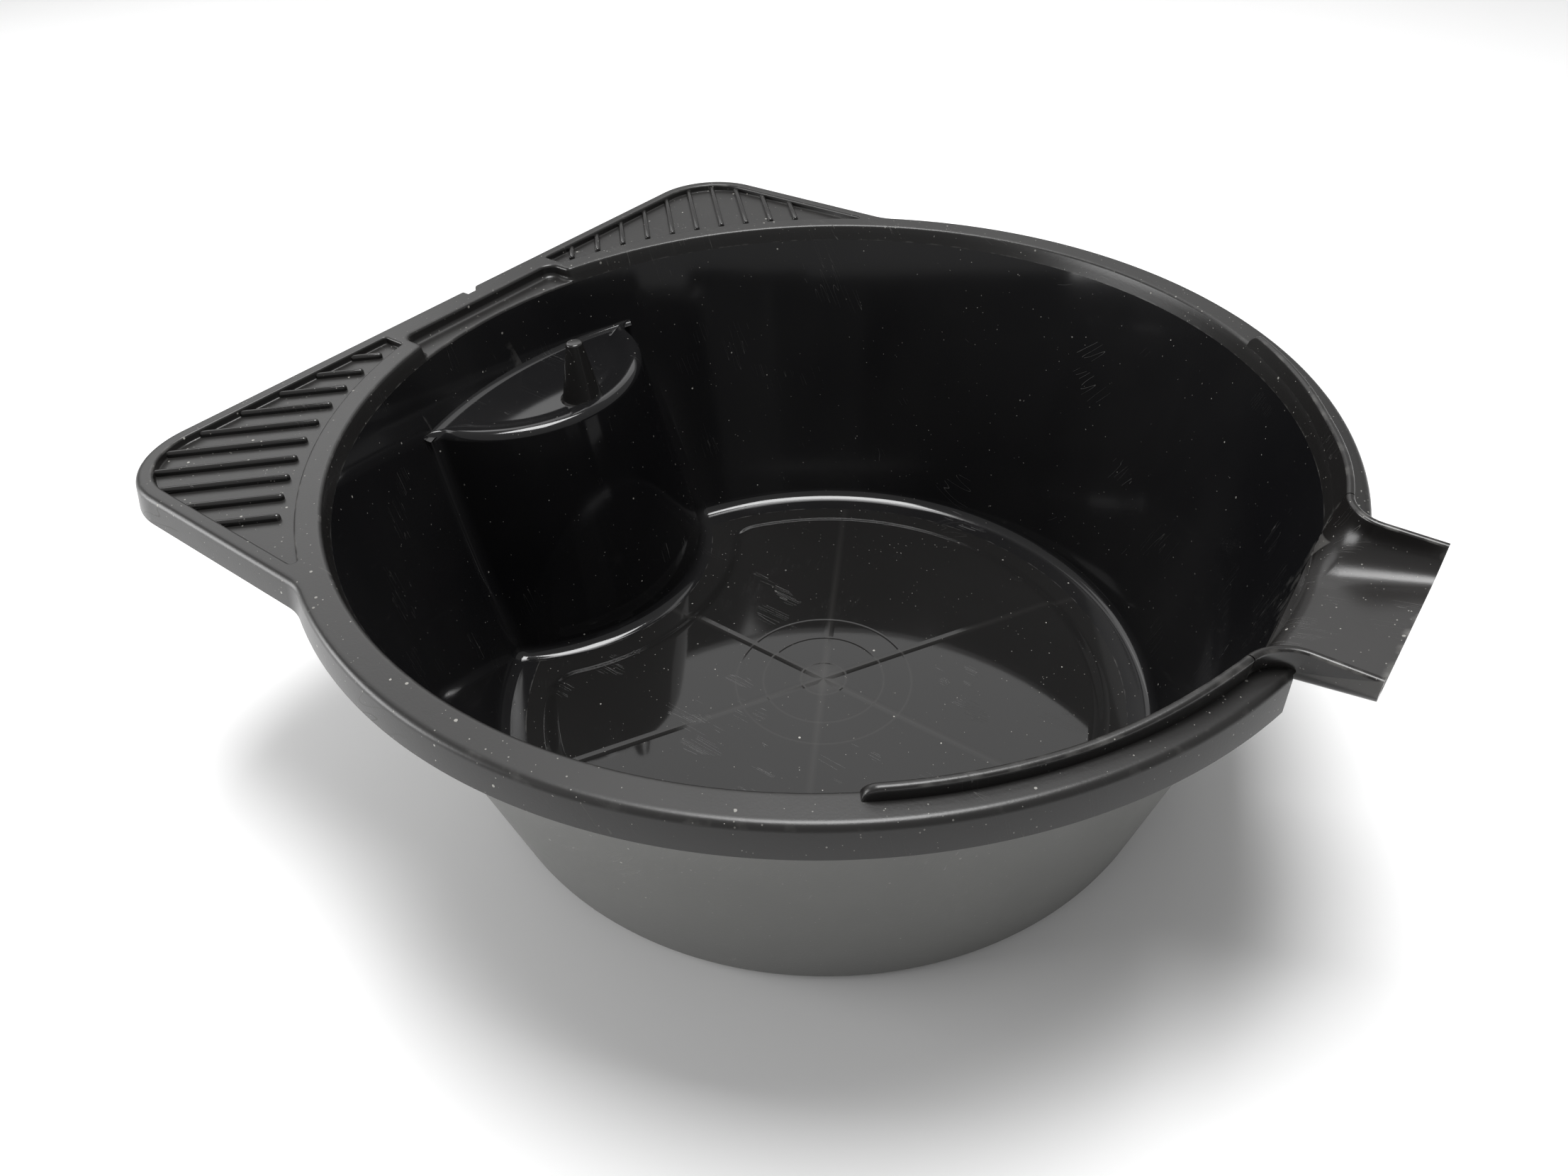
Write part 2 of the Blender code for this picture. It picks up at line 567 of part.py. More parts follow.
for side, word in ((1.0, "left"), (-1.0, "right")):
    side_half = box("side_%s" % word, -FAR, FAR, min(0.0, side * FAR), max(0.0, side * FAR), Z_LOW, Z_HIGH)

    rim = turned("rim_%s" % word, rim_section, material("rim_satin_%s" % word, SATIN, 0.38))
    for cutter, op in ((side_half, 'INTERSECT'), (free_half, 'INTERSECT'), (spout_gap, 'DIFFERENCE')):
        boolean(rim, cutter, op)

    band = turned("rim_band_%s" % word, band_section, material("band_satin_%s" % word, SATIN, 0.38))
    for cutter, op in ((side_half, 'INTERSECT'), (ear_half, 'INTERSECT'), (tray_clear, 'DIFFERENCE')):
        boolean(band, cutter, op)

    edge_obj = swept("ear_edge_%s" % word, mirror_points(ear_path(0.0), side), PATH_SECTION,
                     material("edge_satin_%s" % word, SATIN, 0.4))
    boolean(edge_obj, ear_half, 'INTERSECT')
    boolean(edge_obj, band_clear)

    panel = plate("ear_panel_%s" % word, [mirror_points(panel_outline(), side)],
                  RIM_Z - PANEL_DROP - SKIN, RIM_Z - PANEL_DROP, material("panel_satin_%s" % word, SATIN, 0.42))
    for i in range(RIB_COUNT):
        boolean(panel, rib("rib_%s_%d" % (word, i), side, i), 'UNION')
    boolean(panel, ear_half, 'INTERSECT')

# straight edge between the ears, with the hanging notch
bridge = swept("back_bridge", [(EAR_X, TRAY_Y), (EAR_X, 0.0), (EAR_X, -TRAY_Y)], PATH_SECTION,
               material("bridge_satin", SATIN, 0.4))
notch = box("notch", EAR_X - 5.0 * MM, EAR_X + NOTCH_D, 0.0, NOTCH_W, RIM_Z - 5.0 * MM, Z_HIGH)
boolean(bridge, notch)

# pocket between the ears: back wall, end walls and the ledge that opens into the bowl
TRAY_BACK = EAR_X + BORDER_W + GAP
tray_round = arc(POCKET_X - 3.0 * MM, RIM_Z - 3.0 * MM, 3.0 * MM, 90.0, 0.0, 4)
tray_profile = ([(TRAY_BACK, RIM_Z)] + tray_round + [(POCKET_X, POCKET_FLOOR), (-STUB_X, POCKET_FLOOR),
                (-STUB_X, POCKET_FLOOR - SKIN), (TRAY_BACK, POCKET_FLOOR - SKIN)])
tray = plate("pocket_tray", [tray_profile], -TRAY_Y, TRAY_Y, material("tray_satin", SATIN, 0.22))
bm = bmesh.new()
bm.from_mesh(tray.data)
for v in bm.verts:
    v.co = (v.co.x, v.co.z, v.co.y)
bmesh.ops.reverse_faces(bm, faces=bm.faces)
bm.to_mesh(tray.data)
bm.free()
for side in (1.0, -1.0):
    y0, y1 = sorted((side * POCKET_Y, side * TRAY_Y))
    end = box("tray_end_%d" % side, TRAY_BACK, -STUB_X, y0, y1, POCKET_FLOOR - SKIN, RIM_Z)
    boolean(tray, end, 'UNION')
boolean(tray, bowl_core)

# ---------------------------------------------------------------- spout and splash fences
spout = channel("pour_spout", STUB_X, SPOUT_TIP, SPOUT_T, RIM_Z + SPOUT_TOP,
                material("spout_satin", SATIN, 0.24), inner=0.0)
boolean(spout, bowl_core)

FENCE_R0 = MOUTH_R + 0.1 * MM
FENCE_R1 = FENCE_R0 + FENCE_T


def fence_outline():
    """Plan of the +Y fence: along the mouth, then turned out into the spout wall."""
    turn_r = FENCE_CORNER + FENCE_T
    # the turn is a round tangent to the mouth circle and to the spout wall
    cy = SPOUT_Y - SPOUT_T + turn_r
    cx = math.sqrt((FENCE_R0 + turn_r) ** 2 - cy * cy)
    meet = math.degrees(math.atan2(cy, cx))
    lines = []
    for around, turn in ((FENCE_R0, turn_r), (FENCE_R1, FENCE_CORNER)):
        line = arc(0.0, 0.0, around, FENCE_ANGLE, meet, 24)
        lines.append(line + arc(cx, cy, turn, meet + 180.0, 270.0, 6)[1:])
    return lines


inner_line, outer_line = fence_outline()
FENCE_END_X = inner_line[-1][0]
spout_trim = box("spout_trim", 0.0, FENCE_END_X + GAP, -FAR, FAR, RIM_Z - GAP, Z_HIGH)
boolean(spout, spout_trim)
for side, word in ((1.0, "left"), (-1.0, "right")):
    outline = mirror_points(inner_line + list(reversed(outer_line)), side)
    fence = plate("splash_fence_%s" % word, [outline], RIM_Z + GAP, RIM_Z + FENCE_H,
                  material("fence_satin_%s" % word, SATIN, 0.3))

for obj in PARTS.objects:
    if obj.type == 'MESH':
        smooth(obj)
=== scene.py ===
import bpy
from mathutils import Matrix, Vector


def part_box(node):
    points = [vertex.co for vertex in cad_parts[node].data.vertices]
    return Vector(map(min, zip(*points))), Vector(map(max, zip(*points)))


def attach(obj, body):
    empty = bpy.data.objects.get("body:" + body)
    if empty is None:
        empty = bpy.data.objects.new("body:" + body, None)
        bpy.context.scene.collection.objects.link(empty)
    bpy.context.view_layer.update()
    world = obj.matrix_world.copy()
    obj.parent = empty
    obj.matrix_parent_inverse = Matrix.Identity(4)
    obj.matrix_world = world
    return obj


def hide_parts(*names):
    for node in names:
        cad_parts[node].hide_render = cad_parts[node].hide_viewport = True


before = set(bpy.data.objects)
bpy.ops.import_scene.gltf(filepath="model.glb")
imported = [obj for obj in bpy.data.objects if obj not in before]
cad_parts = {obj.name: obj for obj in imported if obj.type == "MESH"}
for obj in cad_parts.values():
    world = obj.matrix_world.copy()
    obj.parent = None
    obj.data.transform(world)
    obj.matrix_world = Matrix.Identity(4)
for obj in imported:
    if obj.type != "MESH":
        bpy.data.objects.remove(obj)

"""Visual model of a black moulded oil drain pan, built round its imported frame.

Each sub-assembly of the moulding is a class that builds its own meshes in millimetres
about the bowl's axis; Surface turns them into metres in the frame's own place.
"""
import logging
import math
from collections.abc import Callable
from dataclasses import dataclass
from enum import Enum

import bmesh
import bpy
from mathutils import Matrix, Vector

LOG = logging.getLogger("drain_pan")
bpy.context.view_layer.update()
BODY = "root"
MM = 0.001
CORNER_MARK = "corner_mark"
RIM_NODES = ("rim_left", "rim_right", "rim_band_left", "rim_band_right", "ear_edge_left", "ear_edge_right",
             "ear_panel_left", "ear_panel_right", "back_bridge")
QUARTER_TURN = 0.5 * math.pi
LONG_ARC_STEPS = 240  # of an arc most of the way round the rim
FILLET_STEPS = 6  # of the small rounds on the rim's edges

Point2 = tuple[float, float]
Point3 = tuple[float, float, float]


class Slot(Enum):
    """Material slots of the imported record."""

    BOWL = "bowl_gloss"
    RIM = "rim_satin"
    SPOUT = "spout_satin"


# ------------------------------------------------------------------ shared shape
@dataclass(frozen=True)
class PanShape:
    """Driving sizes of the pan in millimetres, about the bowl's axis.

    Attributes:
        rim_z: height of the flat rim.
        rim_r: outer radius of the rim.
        ear_x: back edge of the two ears.
        spout_tip: reach of the spout.
        spout_top: height of the spout's sides.
        ear_y: half the width over the ears.
        peg_x: place of the filter peg.
        mouth_r: inner radius of the wall, carried up to the rim.
        draft: lean of the wall, run for each unit of height.
        wall: thickness of the wall.
        skin: thickness of the floor and of the stand.
        foot_fillet: fillet inside the bowl's foot.
        floor_split: radius where the wall's piece meets the floor's.
        stand_x: place of the filter stand's own axis.
        stand_r0: radius of the stand's front, carried down to the table.
        stand_draft: lean of the stand's front.
        stand_z: height of the stand's edge.
        dish: depth of the dish in the stand's top.
        lap: depth to which the rim's piece covers the wall.
        round_steps: facets of a full turn.
    """

    rim_z: float
    rim_r: float
    ear_x: float
    spout_tip: float
    spout_top: float
    ear_y: float = 153.8
    peg_x: float = -114.4
    mouth_r: float = 159.5
    draft: float = 0.254
    wall: float = 2.6
    skin: float = 2.5
    foot_fillet: float = 5.5
    floor_split: float = 118.0
    stand_x: float = -155.5
    stand_r0: float = 72.2
    stand_draft: float = 0.19
    stand_z: float = 98.6
    dish: float = 1.8
    lap: float = 6.0
    round_steps: int = 192

    @classmethod
    def from_frame(cls) -> "PanShape":
        """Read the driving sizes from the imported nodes.

        Returns:
            The shape, in millimetres about the bowl's axis.
        """
        axis = pan_axis_x()
        rim_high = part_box("rim_left")[1]
        back_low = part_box("back_bridge")[0]
        spout_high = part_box("pour_spout")[1]
        return cls(
            rim_z=rim_high.z / MM,
            rim_r=rim_high.y / MM - RimDeck.flare,
            ear_x=(back_low.x - axis) / MM + RimDeck.flare,
            spout_tip=(spout_high.x - axis) / MM,
            spout_top=spout_high.z / MM,
        )

    def wall_in(self, z: float) -> float:
        """Inner radius of the conical wall at a height."""
        return self.mouth_r - self.draft * (self.rim_z - z)

    def fillet_centre(self) -> Point2:
        """Centre (radius, height) of the foot fillet inside the bowl."""
        z = self.skin + self.foot_fillet
        return self.wall_in(z) - self.foot_fillet * math.hypot(1.0, self.draft), z

    def inner_radius(self, z: float) -> float:
        """Inner radius of the bowl at a height, the foot fillet included."""
        r, zc = self.fillet_centre()
        if z >= zc - self.foot_fillet * math.sin(math.atan(self.draft)):
            return self.wall_in(z)
        return r + math.sqrt(max(self.foot_fillet ** 2 - (zc - z) ** 2, 0.0))

    def stand_out(self, z: float) -> float:
        """Radius of the filter stand's front at a height, about its own axis."""
        return self.stand_r0 - self.stand_draft * z


def pan_axis_x() -> float:
    """World x of the bowl's axis, in metres, from the peg's node."""
    low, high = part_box("filter_peg")
    return 0.5 * (low.x + high.x) - PanShape.peg_x * MM


# ------------------------------------------------------------------ outlines
def arc(cx: float, cy: float, radius: float, start: float, end: float, count: int) -> list[Point2]:
    """Points on an arc.

    Args:
        cx, cy: centre.
        radius: radius.
        start, end: angles in degrees.
        count: number of steps.

    Returns:
        count + 1 points, both ends included.
    """
    points = []
    for i in range(count + 1):
        a = math.radians(start + (end - start) * i / count)
        points.append((cx + radius * math.cos(a), cy + radius * math.sin(a)))
    return points


def turns(steps: int, whole: float = QUARTER_TURN) -> list[float]:
    """Even angles in radians from 0 to a whole, both ends included."""
    return [whole * i / steps for i in range(steps + 1)]


def clean_loop(points: list[Point2]) -> list[Point2]:
    """Drop points of a closed loop that repeat the one before."""
    return [p for i, p in enumerate(points) if math.dist(p, points[i - 1]) > 1e-4]


def mirrored(points: list[Point2]) -> list[Point2]:
    """The mirror image of a loop across the XZ plane, in the same sense."""
    return [(x, -y) for x, y in reversed(points)]


def offset_loop(points: list[Point2], shifts: list[float]) -> list[Point2]:
    """Move each point of a closed anticlockwise loop outwards.

    Args:
        points: the loop.
        shifts: distance for each point; negative is inwards.

    Returns:
        The moved loop, point for point.
    """
    moved = []
    count = len(points)
    for i, (x, y) in enumerate(points):
        before, after = points[i - 1], points[(i + 1) % count]
        n0 = Vector((y - before[1], before[0] - x)).normalized()
        n1 = Vector((after[1] - y, x - after[0])).normalized()
        step = (n0 + n1) / (1.0 + n0.dot(n1)) * shifts[i]
        moved.append((x + step.x, y + step.y))
    return moved


def at_height(points: list[Point2], z: float) -> list[Point3]:
    """Lift plan points to one height."""
    return [(x, y, z) for x, y in points]


def ease(t: float) -> float:
    """Smooth step from 0 to 1."""
    t = min(max(t, 0.0), 1.0)
    return t * t * (3.0 - 2.0 * t)


# ------------------------------------------------------------------ mesh making
class Surface:
    """A bmesh under construction, in millimetres about the bowl's axis."""

    def __init__(self) -> None:
        """Start empty."""
        self.bm = bmesh.new()

    def chain(self, points: list[Point3], closed: bool = True) -> list[bmesh.types.BMVert]:
        """Lay a first chain of vertices and edges.

        Args:
            points: places in order.
            closed: whether the last joins the first.

        Returns:
            The vertices in order.
        """
        verts = [self.bm.verts.new(p) for p in points]
        for i in range(len(verts) if closed else len(verts) - 1):
            self.bm.edges.new((verts[i], verts[(i + 1) % len(verts)]))
        return verts

    def extend(self, chain: list, points: list[Point3]) -> list:
        """Extrude a closed chain to new places.

        Args:
            chain: vertices from chain() or extend().
            points: the new place of each.

        Returns:
            The new vertices in order.
        """
        count = len(chain)
        edges = [self.bm.edges.get((chain[i], chain[(i + 1) % count])) for i in range(count)]
        made = bmesh.ops.extrude_edge_only(self.bm, edges=edges)["geom"]
        fresh = {g for g in made if isinstance(g, bmesh.types.BMVert)}
        new = []
        for vert, place in zip(chain, points):
            twin = next(e.other_vert(vert) for e in vert.link_edges if e.other_vert(vert) in fresh)
            twin.co = place
            new.append(twin)
        return new

    def loft(self, rings: list[list[Point3]]) -> list[list]:
        """Extrude through a run of closed rings.

        Args:
            rings: places of each ring.

        Returns:
            Every chain, the first included.
        """
        chains = [self.chain(rings[0])]
        for ring in rings[1:]:
            chains.append(self.extend(chains[-1], ring))
        return chains

    def solid(self, rings: list[list[Point3]], close: Callable[[list], None]) -> None:
        """Loft a solid and close both its ends.

        Args:
            rings: places of each ring.
            close: cap, fill or fill_any, whichever suits the ends.
        """
        chains = self.loft(rings)
        close(chains[0])
        close(chains[-1])

    def cap(self, chain: list) -> None:
        """Close a flat loop with one face."""
        self.bm.faces.new(chain)

    def fill(self, *chains: list) -> None:
        """Fill the flat region between an outer loop and the loops inside it."""
        edges = []
        for chain in chains:
            edges += [self.bm.edges.get((chain[i], chain[i - 1])) for i in range(len(chain))]
        bmesh.ops.triangle_fill(self.bm, use_beauty=True, use_dissolve=False, edges=edges,
                                normal=(0.0, 0.0, 1.0))

    def fill_any(self, chain: list) -> None:
        """Fill a loop that need not be flat."""
        edges = [self.bm.edges.get((chain[i], chain[i - 1])) for i in range(len(chain))]
        bmesh.ops.triangle_fill(self.bm, use_beauty=True, use_dissolve=False, edges=edges)

    def spin(self, profile: list[Point2], steps: int, closed: bool = True,
             centre: Point2 = (0.0, 0.0)) -> None:
        """Turn a (radius, height) profile round a vertical axis.

        Args:
            profile: points; an open one starts and ends on the axis.
            steps: facets round.
            closed: whether the profile is a loop.
            centre: plan place of the axis.
        """
        verts = self.chain([(r, 0.0, z) for r, z in profile], closed)
        edges = list({e for v in verts for e in v.link_edges})
        bmesh.ops.spin(self.bm, geom=verts + edges, cent=(0.0, 0.0, 0.0), axis=(0.0, 0.0, 1.0),
                       angle=2.0 * math.pi, steps=steps, use_merge=True, use_duplicate=False)
        bmesh.ops.remove_doubles(self.bm, verts=self.bm.verts, dist=1e-4)
        bmesh.ops.translate(self.bm, verts=self.bm.verts, vec=(centre[0], centre[1], 0.0))

    def piece(self, name: str, facing_up: bool = False) -> bpy.types.Object:
        """Finish the mesh as an object at the frame's origin, in metres.

        Args:
            name: object name.
            facing_up: for an open surface, turn it so that its flat faces look up.

        Returns:
            The new object.
        """
        bmesh.ops.recalc_face_normals(self.bm, faces=self.bm.faces)
        if facing_up and sum(f.normal.z * f.calc_area() for f in self.bm.faces) < 0.0:
            bmesh.ops.reverse_faces(self.bm, faces=self.bm.faces)
        self.bm.transform(Matrix.Translation((pan_axis_x(), 0.0, 0.0)) @ Matrix.Scale(MM, 4))
        mesh = bpy.data.meshes.new(name)
        self.bm.to_mesh(mesh)
        self.bm.free()
        obj = bpy.data.objects.new(name, mesh)
        bpy.context.scene.collection.objects.link(obj)
        return obj


def settle(obj: bpy.types.Object) -> None:
    """Apply an object's modifiers to its mesh."""
    bpy.context.view_layer.update()
    graph = bpy.context.evaluated_depsgraph_get()
    mesh = bpy.data.meshes.new_from_object(obj.evaluated_get(graph))
    obj.modifiers.clear()
    obj.data = mesh


def thicken(obj: bpy.types.Object, thickness: float) -> None:
    """Give an open surface its wall, behind the surface.

    Args:
        obj: the surface.
        thickness: millimetres.
    """
    mod = obj.modifiers.new("wall", 'SOLIDIFY')
    mod.thickness = thickness * MM
    mod.offset = -1.0
    mod.use_even_offset = True
    mod.use_quality_normals = True
    settle(obj)


def carve(obj: bpy.types.Object, *cutters: bpy.types.Object) -> None:
    """Cut solids out of an object, then leave the cutters for reuse."""
    for cutter in cutters:
        mod = obj.modifiers.new(cutter.name, 'BOOLEAN')
        mod.operation = 'DIFFERENCE'
        mod.solver = 'EXACT'
        mod.object = cutter
    settle(obj)


def shade(obj: bpy.types.Object, angle: float = 30.0) -> None:
    """Smooth shading with true corners kept sharp."""
    obj.data.shade_smooth()
    obj.data.set_sharp_from_angle(angle=math.radians(angle))


def place(obj: bpy.types.Object, slot: Slot, *nodes: str) -> None:
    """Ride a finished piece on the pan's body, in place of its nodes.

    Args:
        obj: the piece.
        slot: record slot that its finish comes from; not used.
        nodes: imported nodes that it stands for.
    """
    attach(obj, BODY)
    if nodes:
        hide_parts(*nodes)
    LOG.info("%s: %d faces, stands for %s", obj.name, len(obj.data.polygons), ", ".join(nodes) or "no node")


# ------------------------------------------------------------------ rim, ears and pocket mouth
@dataclass
class RimDeck:
    """The flat rim with its skirt, both ears with sunk panels, and the pocket's opening.

    Attributes:
        flare: how far the skirt's hem stands outside its top.
        drop: depth of the skirt.
        edge_r, lip_r: rounds of the rim's outer and inner edges.
        edge_slip: growth of the outer round, so that it meets the skirt's face.
        ear_corner, ear_fillet: plan rounds of an ear's outer corner and of its meeting with the rim.
        border: width of the flat border round a sunk panel.
        band_r: radius where the sunk panels start.
        panel_drop, panel_end_y: depth of a panel, and its edge beside the pocket.
        panel_edge_r, panel_foot_r, tip_r: rounds of a panel's edge and foot, and of its plan corners.
        pocket_y, pocket_x: half width and back edge of the pocket.
        pocket_nose, pocket_corner: plan rounds where the pocket meets the mouth, and at its back.
        ledge_r, ledge_lap: round of the pocket floor's front edge, and its overlap under the deck.
        hold: flat strip kept beside each edge.
        chamfer: small steps at the foot and underside of a panel.
        notch_lip, notch_under: depth of the notch over the skirt, and behind it.
        rib_first, rib_pitch: shift of the first rib from the diagonal, and the pitch.
        rib_start, rib_over, rib_root: a rib's start outside the band, its overlap with the border,
            and how deep it is sunk.
    """

    shape: PanShape
    flare: float = 1.5
    drop: float = 9.2
    edge_r: float = 2.4
    edge_slip: float = 0.02
    lip_r: float = 1.3
    thickness: float = 2.2
    ear_corner: float = 29.0
    ear_fillet: float = 20.0
    border: float = 5.7
    band_r: float = 167.4
    panel_drop: float = 2.8
    panel_end_y: float = 42.4
    panel_edge_r: float = 0.9
    panel_foot_r: float = 0.5
    tip_r: float = 1.2
    pocket_y: float = 38.8
    pocket_x: float = -165.8
    pocket_corner: float = 5.0
    pocket_nose: float = 2.5
    pocket_depth: float = 5.0
    pocket_fillet: float = 1.8
    pocket_draft: float = 0.05
    pocket_wall: float = 1.4
    panel_wall: float = 1.2
    ledge_r: float = 1.1
    ledge_lap: float = 1.0
    hold: float = 0.35
    chamfer: float = 0.3
    notch_width: float = 7.6
    notch_depth: float = 4.9
    notch_lip: float = 0.7
    notch_under: float = 6.5
    rib_count: int = 10
    rib_first: float = -80.6
    rib_pitch: float = 11.1
    rib_width: float = 2.4
    rib_rise: float = 1.9
    rib_root: float = 1.0
    rib_round: float = 1.15
    rib_start: float = 4.5
    rib_over: float = 0.8

    def ear_arc(self, radius: float, steps: int) -> list[Point2]:
        """Arc about the centre of the +Y ear's outer corner."""
        s = self.shape
        return arc(s.ear_x + self.ear_corner, s.ear_y - self.ear_corner, radius, 90.0, 180.0, steps)

    def outer_loop(self) -> list[Point2]:
        """Plan outline of the rim and both ears, anticlockwise."""
        s = self.shape
        cy = s.ear_y + self.ear_fillet
        cx = -math.sqrt((s.rim_r + self.ear_fillet) ** 2 - cy ** 2)
        meet = math.degrees(math.atan2(cy, cx))
        side = arc(cx, cy, self.ear_fillet, meet - 180.0, -90.0, 10)
        side += self.ear_arc(self.ear_corner, 24)
        free = arc(0.0, 0.0, s.rim_r, -meet, meet, LONG_ARC_STEPS)
        return clean_loop(free + side + mirrored(side))

    def mouth_loop(self) -> tuple[list[Point2], list[float]]:
        """Plan outline of the mouth and pocket, anticlockwise.

        Returns:
            The loop, and for each point how much of it belongs to the bowl's wall.
        """
        s, nose, corner = self.shape, self.pocket_nose, self.pocket_corner
        cy = self.pocket_y + nose
        cx = -math.sqrt((s.mouth_r + nose) ** 2 - cy ** 2)
        meet = math.degrees(math.atan2(cy, cx))
        mouth = arc(0.0, 0.0, s.mouth_r, -meet, meet, LONG_ARC_STEPS)
        nose_arc = arc(cx, cy, nose, meet - 180.0, -90.0, 8)[1:]
        corner_arc = arc(self.pocket_x + corner, self.pocket_y - corner, corner, 90.0, 180.0, 10)
        share = [1.0 - ease((i + 1) / len(nose_arc)) for i in range(len(nose_arc))]
        share += [0.0] * len(corner_arc)
        side = nose_arc + corner_arc
        return mouth + side + mirrored(side), [1.0] * len(mouth) + share + share[::-1]

    def panel_loop(self) -> list[Point2]:
        """Plan outline of the sunk panel of the +Y ear, anticlockwise."""
        s, tip, end = self.shape, self.tip_r, self.panel_end_y
        line_y, line_x = s.ear_y - self.border, s.ear_x + self.border
        tip_y = line_y - tip
        tip_x = -math.sqrt((self.band_r + tip) ** 2 - tip_y ** 2)
        at_tip = math.degrees(math.atan2(tip_y, tip_x))
        low_y = end + tip
        low_x = -math.sqrt((self.band_r + tip) ** 2 - low_y ** 2)
        at_low = math.degrees(math.atan2(low_y, low_x))
        loop = arc(tip_x, tip_y, tip, at_tip - 180.0, 90.0, 10)
        loop += self.ear_arc(self.ear_corner - self.border, 20)
        loop += arc(line_x + tip, end + tip, tip, 180.0, 270.0, 6)
        loop += arc(low_x, low_y, tip, 270.0, at_low + 180.0, 6)
        loop += arc(0.0, 0.0, self.band_r, at_low, at_tip, 40)[1:-1]
        return clean_loop(loop)

    def edge_rings(self, loop: list[Point2]) -> list[list[Point3]]:
        """Rings from the flat rim over its rounded outer edge, down the skirt and up behind it."""
        z, r = self.shape.rim_z, self.edge_r
        lean = math.atan(self.flare / (self.drop - r))
        steps = [(-r - self.hold, 0.0)]
        for i, a in enumerate(turns(FILLET_STEPS, QUARTER_TURN - lean)):
            slip = self.edge_slip * i / FILLET_STEPS
            steps.append((-r + r * math.sin(a) + slip, -r + r * math.cos(a)))
        steps.append((self.flare, -self.drop))
        back = self.flare - self.thickness
        steps += [(back, -self.drop), (back - self.flare, -self.thickness)]
        steps.append((back - self.flare - self.hold, -self.thickness))
        return [at_height(offset_loop(loop, [out] * len(loop)), z + dz) for out, dz in steps]

    def mouth_rings(self, loop: list[Point2], share: list[float]) -> list[list[Point3]]:
        """Rings from the flat rim over the lip, down the mouth and pocket walls and up behind them.

        Args:
            loop: mouth outline.
            share: 1 for points on the bowl's wall, 0 for the pocket's.

        Returns:
            The rings, top first.
        """
        z, r = self.shape.rim_z, self.lip_r
        drafts = [self.pocket_draft + (self.shape.draft - self.pocket_draft) * w for w in share]
        leans = [math.atan(d) for d in drafts]
        starts = [r * math.cos(a) - d * r * (1.0 - math.sin(a)) for a, d in zip(leans, drafts)]
        rings = [at_height(offset_loop(loop, [v + self.hold for v in starts]), z)]
        for i in range(FILLET_STEPS + 1):
            turn = [(QUARTER_TURN - a) * i / FILLET_STEPS for a in leans]
            plan = offset_loop(loop, [v - r * math.sin(t) for v, t in zip(starts, turn)])
            rings.append([(x, y, z - r * (1.0 - math.cos(t))) for (x, y), t in zip(plan, turn)])
        top, fil = self.pocket_depth - self.pocket_fillet, self.pocket_fillet
        for a in turns(FILLET_STEPS):
            depth = top + fil * math.sin(a)
            inward = fil * (1.0 - math.cos(a))
            shifts = [-d * depth - (1.0 - w) * inward for d, w in zip(drafts, share)]
            rings.append(at_height(offset_loop(loop, shifts), z - depth))
        lap, t = self.shape.lap, self.thickness
        backs = [t * w + self.pocket_wall * (1.0 - w) for w in share]
        for depth, behind, more in ((lap, 0.0, 0.0), (lap, 1.0, 0.0), (t, 1.0, 0.0), (t, 1.0, self.hold)):
            fillet = fil if depth == lap else 0.0
            shifts = [-d * depth - (1.0 - w) * fillet + behind * b + more
                      for d, w, b in zip(drafts, share, backs)]
            rings.append(at_height(offset_loop(loop, shifts), z - depth))
        return rings

    def panel_rings(self, loop: list[Point2]) -> list[list[Point3]]:
        """Rings from the flat rim down into a sunk panel."""
        z, r, foot = self.shape.rim_z, self.panel_edge_r, self.panel_foot_r
        steps = [(r + self.hold, 0.0)]
        for a in turns(4):
            steps.append((r - r * math.sin(a), -r * (1.0 - math.cos(a))))
        for a in turns(3):
            steps.append((-foot * (1.0 - math.cos(a)) - 0.05, foot * (1.0 - math.sin(a)) - self.panel_drop))
        steps.append((-foot - self.chamfer, -self.panel_drop))
        return [at_height(offset_loop(loop, [out] * len(loop)), z + dz) for out, dz in steps]

    def panel_back_rings(self, loop: list[Point2]) -> list[list[Point3]]:
        """Rings of the underside round a sunk panel."""
        z, t, out, cut = self.shape.rim_z, self.thickness, self.panel_wall, self.chamfer
        low = -self.panel_drop - t
        steps = [(out + 0.1, -t), (out, -t - cut), (out, low + cut), (out - cut, low)]
        return [at_height(offset_loop(loop, [v] * len(loop)), z + dz) for v, dz in steps]

    def build(self, cutters: list[bpy.types.Object]) -> bpy.types.Object:
        """Build the deck.

        Args:
            cutters: solids to cut away, such as the spout's way through.

        Returns:
            The finished piece.
        """
        surface = Surface()
        edge = surface.loft(self.edge_rings(self.outer_loop()))
        mouth = surface.loft(self.mouth_rings(*self.mouth_loop()))
        tops, backs = [edge[0], mouth[0]], [edge[-1], mouth[-1]]
        for loop in (self.panel_loop(), mirrored(self.panel_loop())):
            for rings, region in ((self.panel_rings(loop), tops), (self.panel_back_rings(loop), backs)):
                panel = surface.loft(rings)
                surface.fill(panel[-1])
                region.append(panel[0])
        surface.fill(*tops)
        surface.fill(*backs)
        deck = surface.piece("rim_and_ears")
        carve(deck, *cutters)
        shade(deck)
        return deck

    def notch(self) -> bpy.types.Object:
        """Cutter of the small notch in the back edge: through the deck, shallow over the skirt."""
        s = self.shape
        inner, skirt = s.ear_x + self.notch_depth, s.ear_x - 0.5
        low, lip = s.rim_z - self.notch_under, s.rim_z - self.notch_lip
        out, high = s.ear_x - 8.0, s.rim_z + 10.0  # well clear of the deck
        outline = [(out, high), (out, lip), (skirt, lip), (skirt, low), (inner, low), (inner, high)]
        surface = Surface()
        surface.solid([[(x, y, z) for x, z in outline] for y in (0.0, self.notch_width)], surface.cap)
        return surface.piece("notch_cutter")

